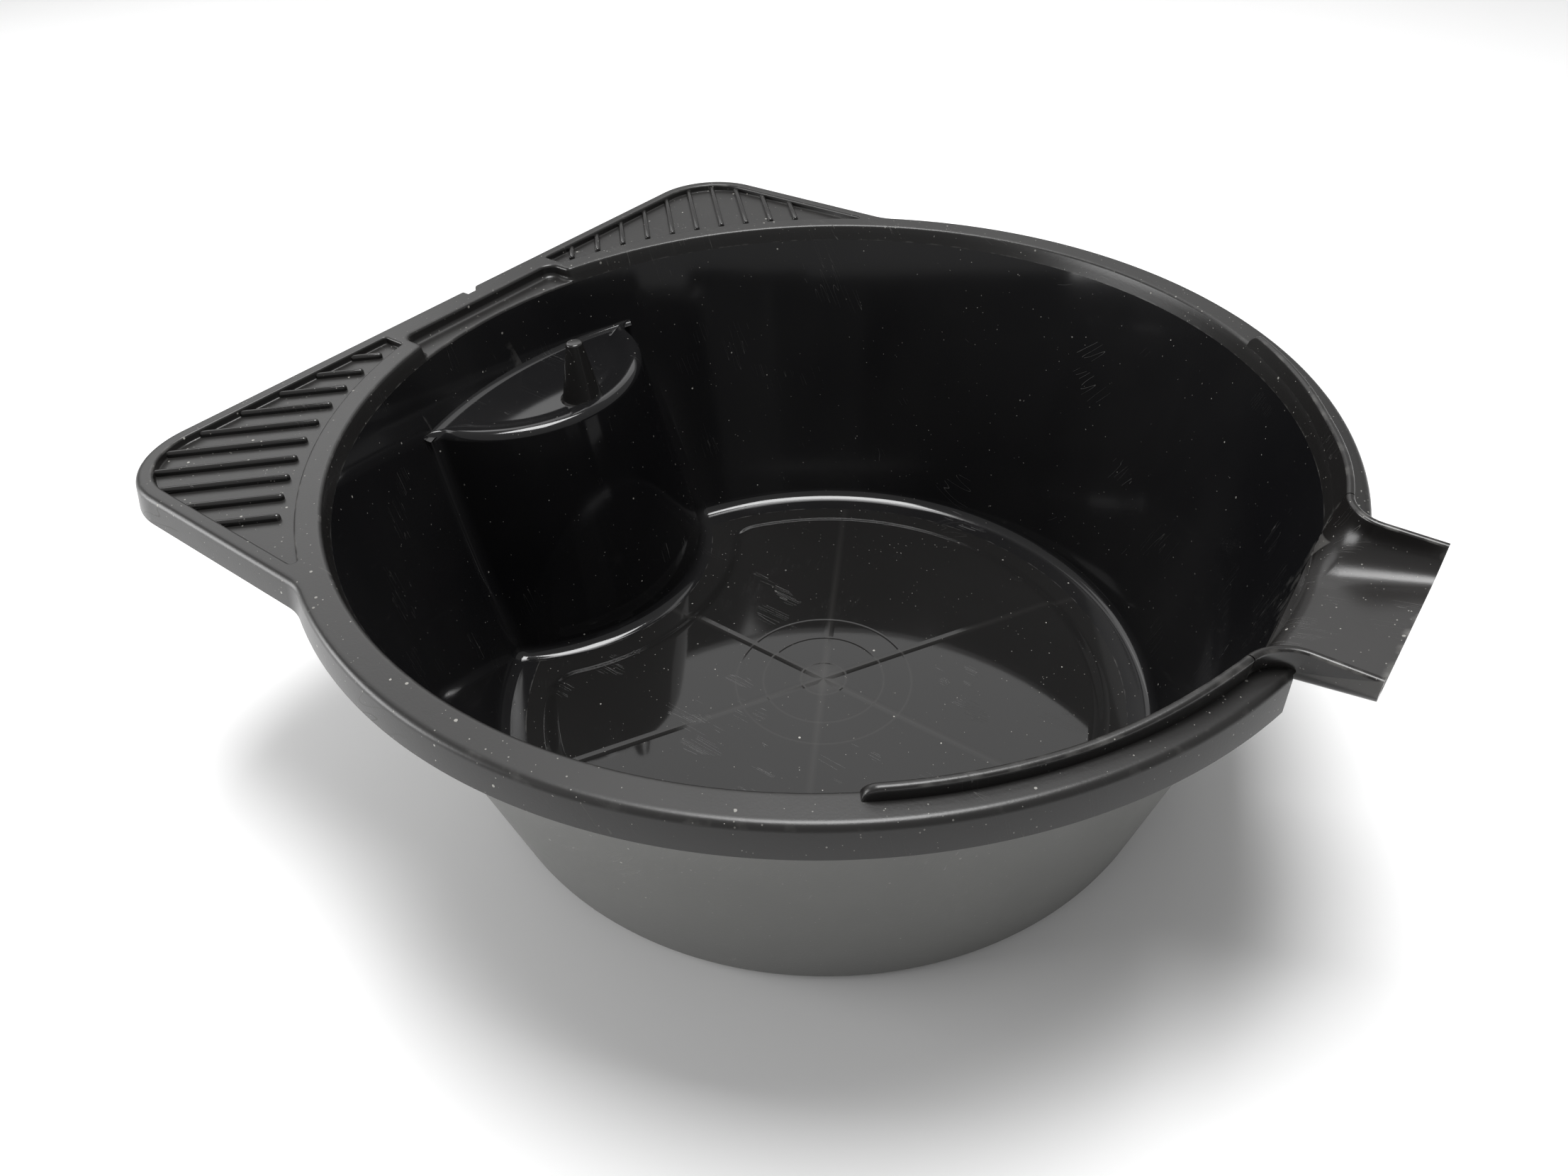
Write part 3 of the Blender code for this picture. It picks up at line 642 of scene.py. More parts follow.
    def rib_line(self, index: int) -> tuple[Point2, Point2]:
        """Plan ends of one rib on the +Y ear; ribs run parallel to the diagonal through the axis."""
        s = self.shape
        shift = self.rib_first + index * self.rib_pitch
        ux, uy = -math.sqrt(0.5), math.sqrt(0.5)
        px, py = uy * shift, -ux * shift
        inner = math.sqrt(max((self.band_r + self.rib_start) ** 2 - shift * shift, 0.0))
        reach = min((s.ear_x + self.border - px) / ux, (s.ear_y - self.border - py) / uy)
        radius = self.ear_corner - self.border
        cx, cy = s.ear_x + self.ear_corner - px, s.ear_y - self.ear_corner - py
        along = cx * ux + cy * uy
        chord2 = radius ** 2 - (cx * cx + cy * cy - along * along)
        near = px + ux * reach < s.ear_x + self.ear_corner and py + uy * reach > s.ear_y - self.ear_corner
        if chord2 > 0.0 and near:
            reach = min(reach, along + math.sqrt(chord2))
        reach += self.rib_over
        return (px + ux * inner, py + uy * inner), (px + ux * reach, py + uy * reach)

    def ribs(self, side: int) -> bpy.types.Object:
        """Build one ear's ribs.

        Args:
            side: 1 for the +Y ear, -1 for the other.

        Returns:
            The finished piece.
        """
        surface = Surface()
        floor, root = self.shape.rim_z - self.panel_drop, self.rib_root
        for index in range(self.rib_count):
            (x0, y0), (x1, y1) = self.rib_line(index)
            length = math.dist((x0, y0), (x1, y1))
            made = bmesh.ops.create_cube(surface.bm, size=1.0)["verts"]
            bmesh.ops.scale(surface.bm, verts=made, vec=(length, self.rib_width, self.rib_rise + root))
            bmesh.ops.translate(surface.bm, verts=made, vec=(0.5 * length, 0.0, 0.5 * (self.rib_rise - root)))
            edges = list({e for v in made for e in v.link_edges if max(w.co.z for w in e.verts) > 0.0})
            bevelled = bmesh.ops.bevel(surface.bm, geom=edges, offset=self.rib_round, offset_type='OFFSET',
                                       segments=5, profile=0.5, affect='EDGES', material=-1,
                                       clamp_overlap=True)
            verts = list({v for f in bevelled["faces"] for v in f.verts} | {v for v in made if v.is_valid})
            linked = list({w for v in verts for f in v.link_faces for w in f.verts})
            turn = Matrix.Rotation(math.atan2(side * (y1 - y0), x1 - x0), 3, 'Z')
            bmesh.ops.rotate(surface.bm, verts=linked, cent=(0.0, 0.0, 0.0), matrix=turn)
            bmesh.ops.translate(surface.bm, verts=linked, vec=(x0, side * y0, floor))
        ribs = surface.piece("ear_ribs_%s" % ("left" if side > 0 else "right"))
        shade(ribs, 40.0)
        return ribs

    def ledge_ring(self, back: list[Point2], out: float, depth: float) -> list[Point3]:
        """One ring of the pocket's floor: the back stays, and the front follows the bowl's wall.

        Args:
            back: plan outline of the pocket behind the wall.
            out: how far the front lies outside the wall.
            depth: depth below the pocket's floor.

        Returns:
            The ring.
        """
        s = self.shape
        half = math.degrees(math.asin(back[0][1] / s.mouth_r))
        floor = s.rim_z - self.pocket_depth
        front = arc(0.0, 0.0, s.wall_in(floor) + out, 180.0 + half, 180.0 - half, 36)
        rear = [(x - self.ledge_lap, y * 1.02) for x, y in back]
        return at_height(rear + front, floor - depth)

    def ledge(self) -> bpy.types.Object:
        """Build the pocket's floor, with a rounded front edge that meets the bowl's wall."""
        s, r = self.shape, self.ledge_r
        back = [p for p, w in zip(*self.mouth_loop()) if w < 0.5]
        lean = math.atan(s.draft)
        start = r * math.cos(lean) - s.draft * r * (1.0 - math.sin(lean))
        steps = [(start + 0.6, 0.0)]
        for a in turns(5, QUARTER_TURN - lean):
            steps.append((start - r * math.sin(a), r * (1.0 - math.cos(a))))
        steps += [(-s.draft, 1.0), (0.6, 1.4), (0.4, 2.4)]
        surface = Surface()
        surface.solid([self.ledge_ring(back, out, depth) for out, depth in steps], surface.fill)
        ledge = surface.piece("pocket_ledge")
        shade(ledge)
        return ledge


# ------------------------------------------------------------------ bowl
@dataclass
class Bowl:
    """Conical wall with its rounded foot, the floor with its raised disc, and the spokes below.

    Attributes:
        corner: outer round of the foot.
        waist_z: height of one more ring of the wall.
        disc_r, disc_rise, disc_slope, disc_corner: the raised disc's radius, height, slope and corners.
        flat_in, flat_out: extra rings of the floor, inside and outside the disc's edge.
        gutter: width of the gutter round the filter stand.
        hub: inner and outer radius of the ring under the disc.
        hub_lap: overlap of a spoke with the ring.
        spoke_low, spoke_in, spoke_short: height of a spoke's foot, how deep its top is sunk into the
            disc, and how far it stops short of the disc's edge.
    """

    shape: PanShape
    corner: float = 5.0
    waist_z: float = 60.0
    disc_r: float = 105.6
    disc_rise: float = 2.2
    disc_slope: float = 5.0
    disc_corner: float = 9.0
    flat_in: float = -2.0
    flat_out: float = 6.6
    gutter: float = 12.8
    spokes: int = 6
    spoke_width: float = 2.4
    spoke_low: float = 0.3
    spoke_in: float = 0.4
    spoke_short: float = 2.0
    hub: Point2 = (15.5, 18.0)
    hub_lap: float = 0.6

    def wall(self, cutters: list[bpy.types.Object]) -> bpy.types.Object:
        """Build the wall and foot.

        Args:
            cutters: the spout's way and the stand's alcove.

        Returns:
            The finished piece.
        """
        s = self.shape
        top = s.rim_z - s.lap
        rc, zc = s.fillet_centre()
        lean = math.degrees(math.atan(s.draft))
        inner = arc(rc, zc, s.foot_fillet, -lean, -90.0, 12)
        outer_r = s.wall_in(self.corner) + s.wall
        outer = arc(outer_r - self.corner, self.corner, self.corner, -90.0, -lean, 10)
        waist, split = self.waist_z, s.floor_split
        profile = [(s.wall_in(top), top), (s.wall_in(waist), waist)] + inner + [(split + 1.0, s.skin)]
        profile += [(split, s.skin), (split, 0.0)] + outer
        profile += [(s.wall_in(waist) + s.wall, waist), (s.wall_in(top) + s.wall, top)]
        surface = Surface()
        surface.spin(profile, s.round_steps)
        wall = surface.piece("bowl_wall_and_foot")
        carve(wall, *cutters)
        shade(wall)
        return wall

    def disc_loop(self, grow: float, corner: float) -> list[Point2]:
        """Outline of the raised disc: a circle with the stand's front bitten out, anticlockwise.

        Args:
            grow: how far outside the flat disc.
            corner: radius of its two corners.

        Returns:
            The loop.
        """
        s = self.shape
        big = self.disc_r + grow
        bite = s.stand_r0 + self.gutter + self.disc_slope - grow
        d = -s.stand_x
        ra, rb = big - corner, bite + corner
        cx = (ra * ra - rb * rb + d * d) / (2.0 * d)
        cy = math.sqrt(ra * ra - cx * cx)
        at_big = math.degrees(math.atan2(cy, -cx))
        at_bite = math.degrees(math.atan2(cy, d - cx))
        loop = arc(0.0, 0.0, big, -at_big, at_big, 120)
        loop += arc(-cx, cy, corner, at_big, at_bite + 180.0, 16)[1:]
        loop += arc(s.stand_x, 0.0, bite, at_bite, -at_bite, 48)[1:]
        loop += arc(-cx, -cy, corner, 180.0 - at_bite, 360.0 - at_big, 16)[1:-1]
        return loop

    def disc_ring(self, grow: float, rise: float) -> list[Point3]:
        """The disc's outline at one height above the gutter, its corners kept concentric."""
        return at_height(self.disc_loop(grow, self.disc_corner + grow), self.shape.skin + rise)

    def floor(self, cutters: list[bpy.types.Object]) -> bpy.types.Object:
        """Build the gutter and the raised disc as one skin.

        Args:
            cutters: the stand's alcove.

        Returns:
            The finished piece.
        """
        s = self.shape
        surface = Surface()
        rim = surface.chain(at_height(arc(0.0, 0.0, s.floor_split, 0.0, 360.0, s.round_steps)[:-1], s.skin))
        rings = [self.disc_ring(self.flat_out, 0.0)]
        for i in range(11):
            t = i / 10.0
            rings.append(self.disc_ring(self.disc_slope * (1.2 - 1.4 * t), self.disc_rise * ease(t)))
        rings.append(self.disc_ring(self.flat_in, self.disc_rise))
        chains = surface.loft(rings)
        surface.fill(rim, chains[0])
        surface.fill(chains[-1])
        floor = surface.piece("floor_and_disc", facing_up=True)
        thicken(floor, s.skin)
        carve(floor, *cutters)
        shade(floor)
        return floor

    def underside(self) -> bpy.types.Object:
        """Build the hub ring and spokes under the disc; the spoke below the stand is shorter."""
        s, lap = self.shape, self.hub_lap
        low, high = self.spoke_low, self.disc_rise + self.spoke_in
        inner, outer = self.hub
        surface = Surface()
        surface.spin([(outer, high), (outer, low), (inner, low), (inner, high)], 64)
        for i in range(self.spokes):
            reach = self.disc_r - self.spoke_short
            if i == self.spokes // 2:
                reach = -(s.stand_x + s.stand_r0 + self.gutter + self.disc_slope) - self.spoke_short
            length = reach - outer + lap
            middle = (outer - lap + 0.5 * length, 0.0, 0.5 * (high + low))
            turn = Matrix.Rotation(2.0 * math.pi * i / self.spokes, 3, 'Z')
            made = bmesh.ops.create_cube(surface.bm, size=1.0)["verts"]
            bmesh.ops.scale(surface.bm, verts=made, vec=(length, self.spoke_width, high - low))
            bmesh.ops.translate(surface.bm, verts=made, vec=middle)
            bmesh.ops.rotate(surface.bm, verts=made, cent=(0.0, 0.0, 0.0), matrix=turn)
        spokes = surface.piece("underside_ribs")
        shade(spokes)
        return spokes


# ------------------------------------------------------------------ filter stand
@dataclass
class FilterStand:
    """Hollow stand against the wall, its dished top and the filter peg.

    Attributes:
        corner_top, corner_foot: plan rounds where the stand meets the wall, at its top and foot.
        edge_r: round of the stand's edge.
        dish_run: width of the slope into the dish.
        back_fillet: how far the dish stays clear of the wall.
        tuck: how far the stand's back is sunk into the wall.
        foot_over, foot_sink: how far the stand's foot is spread and sunk into the floor.
        peg_r0, peg_r1, peg_top: radius of the peg's foot and tip, and height of its tip.
        peg_edge, peg_cap: round of the peg's tip, and thickness of its top.
        peg_foot: steps of the fillet at the peg's foot.
    """

    shape: PanShape
    corner_top: float = 5.0
    corner_foot: float = 6.6
    edge_r: float = 3.0
    dish_run: float = 9.0
    back_fillet: float = 2.5
    tuck: float = 1.2
    foot_over: float = 0.25
    foot_sink: float = 0.9
    peg_r0: float = 7.8
    peg_r1: float = 3.2
    peg_top: float = 120.6
    peg_edge: float = 0.9
    peg_cap: float = 2.5
    peg_foot: tuple[Point2, ...] = ((-0.25, 1.6), (0.1, 0.7), (0.9, 0.1), (1.3, -0.3))

    def loop(self, z: float, grow: float, behind: float) -> list[Point2]:
        """Plan outline of the stand at a height, anticlockwise.

        Args:
            z: height.
            grow: how far outside the stand's own front.
            behind: how far the back arc lies inside the bowl's wall.

        Returns:
            Front arc, blends into the wall, and back arc.
        """
        s = self.shape
        wall = s.inner_radius(z)
        front = s.stand_out(max(z, s.skin + s.foot_fillet)) + grow
        base = self.corner_foot + (self.corner_top - self.corner_foot) * z / s.stand_z
        corner = base - grow
        d = -s.stand_x
        x = (d * d - (front + corner) ** 2 + (wall - corner) ** 2) / (2.0 * d)
        y = math.sqrt((wall - corner) ** 2 - x * x)
        to_stand = math.degrees(math.atan2(y, d - x))
        to_wall = math.degrees(math.atan2(y, -x))
        points = arc(s.stand_x, 0.0, front, -to_stand, to_stand, 64)
        blend = arc(-x, y, corner, to_stand + 180.0, to_wall, 12)[1:]
        points += blend
        points += arc(0.0, 0.0, wall + behind, to_wall, 360.0 - to_wall, 40)
        points += [(px, -py) for px, py in reversed(blend)]
        return points

    def build(self, alcove: bpy.types.Object) -> bpy.types.Object:
        """Build the stand.

        Args:
            alcove: cutter of the hollow behind it.

        Returns:
            The finished piece.
        """
        s, r, tuck = self.shape, self.edge_r, self.tuck
        zc = s.skin + s.foot_fillet
        rings = [at_height(self.loop(s.skin, s.foot_fillet + self.foot_over, tuck), s.skin - self.foot_sink)]
        for i in range(11):
            a = QUARTER_TURN * (1.0 - i / 10.0)
            z = zc - s.foot_fillet * math.sin(a)
            rings.append(at_height(self.loop(z, s.foot_fillet * (1.0 - math.cos(a)), tuck), z))
        for i in range(1, 9):
            z = zc + (s.stand_z - r - zc) * i / 8
            rings.append(at_height(self.loop(z, 0.0, tuck), z))
        for a in turns(8)[1:]:
            z = s.stand_z - r + r * math.sin(a)
            rings.append(at_height(self.loop(z, r * math.cos(a) - r, tuck - 1.1 * math.sin(a)), z))
        for i in range(1, 11):
            t = i / 10.0
            inset = r + self.dish_run * t
            z = s.stand_z - s.dish * ease(t)
            rings.append(at_height(self.loop(s.stand_z, -inset, -self.back_fillet * ease(t) ** 2), z))
        flat = self.loop(s.stand_z, -r - self.dish_run - 0.5, -self.back_fillet - 0.5)
        rings.append(at_height(flat, s.stand_z - s.dish))
        surface = Surface()
        surface.solid(rings, surface.fill)
        stand = surface.piece("filter_stand_shell")
        carve(stand, alcove)
        shade(stand)
        return stand

    def alcove(self, name: str, skin: float) -> bpy.types.Object:
        """Cutter of the hollow under and behind the stand.

        Args:
            name: object name.
            skin: wall left in front of it.

        Returns:
            The cutter.
        """
        s = self.shape
        top, low = s.stand_z - s.dish - skin, -20.0  # the cone's foot is well clear below
        cone = [(s.stand_out(top) - skin, top), (s.stand_out(low) - skin, low)]
        surface = Surface()
        surface.spin([(0.0, top)] + cone + [(0.0, low)], 96, closed=False, centre=(s.stand_x, 0.0))
        return surface.piece(name)

    def peg(self) -> bpy.types.Object:
        """Build the tapered peg, cored from below."""
        s, r0, r1, top, edge = self.shape, self.peg_r0, self.peg_r1, self.peg_top, self.peg_edge
        base = s.stand_z - s.dish
        under, core = base - s.skin + 0.4, top - self.peg_cap
        profile = [(0.0, top), (r1 - edge, top)] + arc(r1 - edge, top - edge, edge, 75.0, 10.0, 5)
        profile += [(r0 + out, base + up) for out, up in self.peg_foot]
        profile += [(r0 + self.peg_foot[-1][0], under), (r0 - 2.0, under), (r1 - 1.6, core), (0.0, core)]
        surface = Surface()
        surface.spin(profile, 64, closed=False, centre=(s.peg_x, 0.0))
        peg = surface.piece("filter_peg_cone")
        shade(peg)
        return peg


# ------------------------------------------------------------------ spout and fences
@dataclass
class SpoutAndFences:
    """Pouring spout, its bell mouth in the bowl's wall, and the splash fence on each side.

    Attributes:
        half: half the channel's inner width.
        floor_drop: depth of the channel's floor below the rim, at the wall.
        slope: rise of the channel's floor for each unit of run.
        fillet: round between the channel's floor and sides.
        side_round, sill_round: rounds of the bell mouth at the sides and at the floor.
        seam_drop: how far a fence reaches below the rim.
        fence_h, fence_foot, fence_angle: a fence's height, thickness at its foot, and far end in degrees.
        swell_angle, swell_run: where a fence has risen from its own height to the spout's, in degrees.
        ramp_run, ramp_sink, ramp_angle: the ramp at a fence's far end: length, depth and angle.
        top_r: rise of the rounded tops.
        bell_steps: rings of the bell mouth.
        way_in, way_out: ends of the cutter of the spout's way.
        skirt_cut: outline of the cut at the skirt's end, as y and height above the rim.
        skirt_run: x of that cut's two ends.
    """

    shape: PanShape
    half: float = 30.1
    wall: float = 2.2
    floor_drop: float = 10.4
    slope: float = 0.26
    fillet: float = 13.0
    side_round: float = 10.2
    sill_round: float = 3.4
    seam_drop: float = 1.2
    fence_h: float = 4.0
    fence_foot: float = 3.4
    fence_angle: float = 51.5
    swell_angle: float = 34.0
    swell_run: float = 18.0
    ramp_run: float = 4.2
    ramp_sink: float = 0.4
    ramp_angle: float = 1.6
    top_r: float = 0.75
    bell_steps: int = 14
    way_in: float = 120.0
    way_out: float = 200.0
    skirt_cut: tuple[Point2, ...] = (
        (-1.0, -0.9), (32.8, -0.9), (35.6, -5.4), (38.2, -9.8), (38.2, -14.0), (-1.0, -14.0))
    skirt_run: Point2 = (163.4, 176.0)

    def floor_z(self, x: float) -> float:
        """Height of the channel's floor at a distance from the axis."""
        s = self.shape
        start = s.rim_z - self.floor_drop
        return start + self.slope * (x - s.wall_in(start))

    def u_point(self, t: float, x: float, top: float) -> tuple[float, float, float, float]:
        """A point of the channel's U section and its outward normal.

        Args:
            t: 0 at the -Y top, 1 at the +Y top.
            x: distance from the axis.
            top: height of the section's two ends.

        Returns:
            (y, z, normal y, normal z).
        """
        floor = self.floor_z(x)
        fillet = min(self.fillet, 0.8 * (self.shape.spout_top - floor))
        u = abs(2.0 * t - 1.0)
        side = 1.0 if t >= 0.5 else -1.0
        flat, bend = 0.35, 0.85
        if u <= flat:
            return side * (self.half - fillet) * u / flat, floor, 0.0, -1.0
        if u <= bend:
            a = QUARTER_TURN * (u - flat) / (bend - flat)
            y = self.half - fillet + fillet * math.sin(a)
            return side * y, floor + fillet * (1.0 - math.cos(a)), side * math.sin(a), -math.cos(a)
        z = floor + fillet + (top - floor - fillet) * (u - bend) / (1.0 - bend)
        return side * self.half, z, side, 0.0

    def bell(self, t: float, turn: float, top: float, extra: float) -> Point3:
        """A point of the rounded way from the bowl's wall into the channel.

        Args:
            t: place round the U section.
            turn: 0 on the wall, 1 in the channel.
            top: height of the section's two ends.
            extra: growth outside the surface, for the cutter.

        Returns:
            The point.
        """
        s = self.shape
        a = QUARTER_TURN * turn
        x = s.wall_in(s.rim_z - self.floor_drop)
        for _ in range(4):
            y, z, ny, nz = self.u_point(t, x, top)
            r = self.sill_round + (self.side_round - self.sill_round) * ny * ny
            grow = r * (1.0 - math.sin(a)) + extra
            py, pz = y + ny * grow, z + nz * grow
            on_wall = math.sqrt(s.wall_in(pz) ** 2 - py * py)
            x = on_wall + r * (1.0 - math.cos(a))
        return x, py, pz

    def thickness(self, turn: float, z: float) -> float:
        """Wall thickness behind a point, thicker towards the fence's foot on the rim."""
        rise = (z - self.shape.rim_z) / (self.shape.spout_top - self.shape.rim_z)
        foot = 1.0 - rise if rise > 0.0 else ease(1.0 + 4.0 * rise)
        return self.wall + (self.fence_foot - self.wall) * (1.0 - turn) * min(max(foot, 0.0), 1.0)

    def behind(self, t: float, turn: float, point: Point3) -> Point3:
        """The point of the outer face behind a point of the inner face."""
        x, y, z = point
        _, _, ny, nz = self.u_point(t, x, self.shape.spout_top)
        a = QUARTER_TURN * turn
        radial = Vector((x, y, 0.0)).normalized() * math.cos(a)
        out = (radial + Vector((0.0, ny, nz)) * math.sin(a)).normalized()
        depth = self.thickness(turn, z)
        return x + out.x * depth, y + out.y * depth, z + out.z * depth

    def section(self, inner: list[Point3], turn: float) -> list[Point3]:
        """Close a U section: inner face, rounded tops and outer face.

        Args:
            inner: points of the inner face, from the -Y top to the +Y top.
            turn: 0 on the bowl's wall, 1 in the channel.

        Returns:
            The loop.
        """
        count = len(inner) - 1
        outer = [self.behind(i / count, turn, p) for i, p in enumerate(inner)]
        return inner + self.crest(inner[-1], outer[-1]) + outer[::-1] + self.crest(outer[0], inner[0])

    def crest(self, start: Point3, end: Point3) -> list[Point3]:
        """Rounded top between the two faces of a wall, its ends left out."""
        points = []
        for a in turns(8, math.pi)[1:-1]:
            w = 0.5 - 0.5 * math.cos(a)
            x, y, z = (u + (v - u) * w for u, v in zip(start, end))
            points.append((x, y, z + self.top_r * math.sin(a)))
        return points

    def channel_rings(self, count: int) -> list[list[Point3]]:
        """Closed U sections from the bowl's wall to the spout's tip."""
        top = self.shape.spout_top - self.top_r
        rings = []
        for j in range(self.bell_steps + 1):
            turn = j / self.bell_steps
            last = [self.bell(i / count, turn, top, 0.0) for i in range(count + 1)]
            rings.append(self.section(last, turn))
        for step in range(1, 9):
            ring = []
            for i, (x0, _, _) in enumerate(last):
                x = x0 + (self.shape.spout_tip - x0) * step / 8
                y, z, _, _ = self.u_point(i / count, x, top)
                ring.append((x, y, z))
            rings.append(self.section(ring, 1.0))
        return rings

    def way(self) -> bpy.types.Object:
        """Cutter of the spout's way through the wall and the rim."""
        count, top, high = 48, self.shape.rim_z + 8.0, self.shape.rim_z + 30.0
        rings = []
        for j in range(self.bell_steps + 1):
            turn = j / self.bell_steps
            rings.append([self.bell(i / count, turn, top, 0.02 + 1.1 * turn) for i in range(count + 1)])
        first = [(self.way_in, y, z) for _, y, z in rings[0]]
        last = [(self.way_out, y, z + self.slope * (self.way_out - x)) for x, y, z in rings[-1]]
        closed = []
        for ring in [first] + rings + [last]:
            (x0, y0, _), (x1, y1, _) = ring[0], ring[-1]
            closed.append(ring + [(x1, y1, high), (x0, y0, high)])
        surface = Surface()
        surface.solid(closed, surface.cap)
        return surface.piece("spout_way_cutter")

    def skirt_end(self, side: int) -> bpy.types.Object:
        """Cutter of the skirt's chamfered end beside the spout."""
        z = self.shape.rim_z
        surface = Surface()
        surface.solid([[(x, side * y, z + up) for y, up in self.skirt_cut] for x in self.skirt_run],
                      surface.cap)
        return surface.piece("skirt_end_cutter")

    def channel(self) -> bpy.types.Object:
        """Build the channel with its bell mouth and walls."""
        surface = Surface()
        surface.solid(self.channel_rings(72), surface.fill_any)
        spout = surface.piece("spout_channel")
        shade(spout, 40.0)
        return spout

    def rail_height(self, angle: float) -> float:
        """Height of the fence above the rim at an angle from the spout, in degrees."""
        full = self.shape.spout_top - self.shape.rim_z
        run = (self.fence_angle - angle) * math.radians(1.0) * self.shape.mouth_r
        height = self.fence_h + (full - self.fence_h) * ease((self.swell_angle - angle) / self.swell_run)
        if run < self.ramp_run:
            share = math.sqrt(max(1.0 - (1.0 - run / self.ramp_run) ** 2, 0.0))
            height = -self.ramp_sink + (height + self.ramp_sink) * share
        return height

    def rail_angles(self) -> list[float]:
        """Angles of the fence's stations, in degrees from the spout."""
        meet = math.degrees(math.asin((self.half + self.side_round) / self.shape.mouth_r))
        start, ramp = self.fence_angle, self.ramp_angle
        angles = [start - ramp * (i / 8.0) ** 2 for i in range(8)]
        return angles + [start - ramp + (meet + ramp - start) * i / 48.0 for i in range(49)]

    def rail(self, side: int) -> bpy.types.Object:
        """Build one splash fence, from its ramp to the spout's bell mouth.

        Args:
            side: 1 for +Y, -1 for -Y.

        Returns:
            The finished piece.
        """
        s = self.shape
        seam = s.rim_z - self.seam_drop
        full = s.spout_top - s.rim_z
        rings = []
        for angle in self.rail_angles():
            a = math.radians(angle)
            height = self.rail_height(angle)
            inner, outer = [], []
            for i in range(7):
                z = seam + (s.rim_z + height - self.top_r - seam) * i / 6
                share = min(max((z - s.rim_z) / max(height, 0.5), 0.0), 1.0)
                depth = self.thickness(0.0, s.rim_z + full * share)
                for run, r in ((inner, s.wall_in(z)), (outer, s.wall_in(z) + depth)):
                    run.append((r * math.cos(a), side * r * math.sin(a), z))
            rings.append(inner + self.crest(inner[-1], outer[-1]) + outer[::-1])
        surface = Surface()
        surface.solid(rings, surface.fill_any)
        rail = surface.piece("splash_fence_%s_rail" % ("left" if side > 0 else "right"))
        shade(rail, 40.0)
        return rail


# ------------------------------------------------------------------ finishes
Socket = bpy.types.NodeSocket
Colour = tuple[float, float, float]


class NodeBench:
    """Short calls that build one node tree."""

    def __init__(self, tree: bpy.types.NodeTree) -> None:
        """Work on a tree."""
        self.tree = tree

    def add(self, kind: str, **settings: object) -> bpy.types.Node:
        """Add a node and set its properties."""
        node = self.tree.nodes.new(kind)
        for key, value in settings.items():
            setattr(node, key, value)
        return node

    def feed(self, socket: Socket, value: Socket | float | tuple) -> None:
        """Link an output to a socket, or set the socket's own value."""
        if isinstance(value, bpy.types.NodeSocket):
            self.tree.links.new(value, socket)
        else:
            socket.default_value = value

    def math(self, operation: str, *values: Socket | float) -> Socket:
        """One Math node."""
        node = self.add('ShaderNodeMath', operation=operation)
        for socket, value in zip(node.inputs, values):
            self.feed(socket, value)
        return node.outputs[0]

    def span(self, value: Socket, low: float, high: float, start: float = 0.0, end: float = 1.0) -> Socket:
        """Map a value from one range to another, clamped."""
        node = self.add('ShaderNodeMapRange')
        for socket, item in zip(node.inputs, (value, low, high, start, end)):
            self.feed(socket, item)
        return node.outputs[0]

    def noise(self, place: Socket, scale: Socket | float, detail: float = 3.0) -> Socket:
        """A noise value."""
        node = self.add('ShaderNodeTexNoise')
        self.feed(node.inputs["Vector"], place)
        self.feed(node.inputs["Scale"], scale)
        node.inputs["Detail"].default_value = detail
        return node.outputs["Fac"]

    def stretch(self, place: Socket, turn: tuple, scale: tuple) -> Socket:
        """Turn and stretch a place; the turn is in degrees."""
        node = self.add('ShaderNodeMapping')
        self.feed(node.inputs["Vector"], place)
        node.inputs["Rotation"].default_value = [math.radians(a) for a in turn]
        node.inputs["Scale"].default_value = scale
        return node.outputs[0]

    def split(self, vector: Socket) -> list[Socket]:
        """The three parts of a vector."""
        node = self.add('ShaderNodeSeparateXYZ')
        self.feed(node.inputs[0], vector)
        return list(node.outputs)

    def mix(self, share: Socket | float, first: Socket | Colour, second: Socket | Colour) -> Socket:
        """Mix two colours."""
        node = self.add('ShaderNodeMix', data_type='RGBA')
        self.feed(node.inputs[0], share)
        for socket, value in ((node.inputs[6], first), (node.inputs[7], second)):
            self.feed(socket, (*value, 1.0) if isinstance(value, tuple) else value)
        return node.outputs[2]

    def group(self, name: str, **values: Socket | float) -> Socket:
        """Place a shader group and return its one output."""
        node = self.add('ShaderNodeGroup', node_tree=bpy.data.node_groups[name])
        for key, value in values.items():
            self.feed(node.inputs[key], value)
        return node.outputs[0]


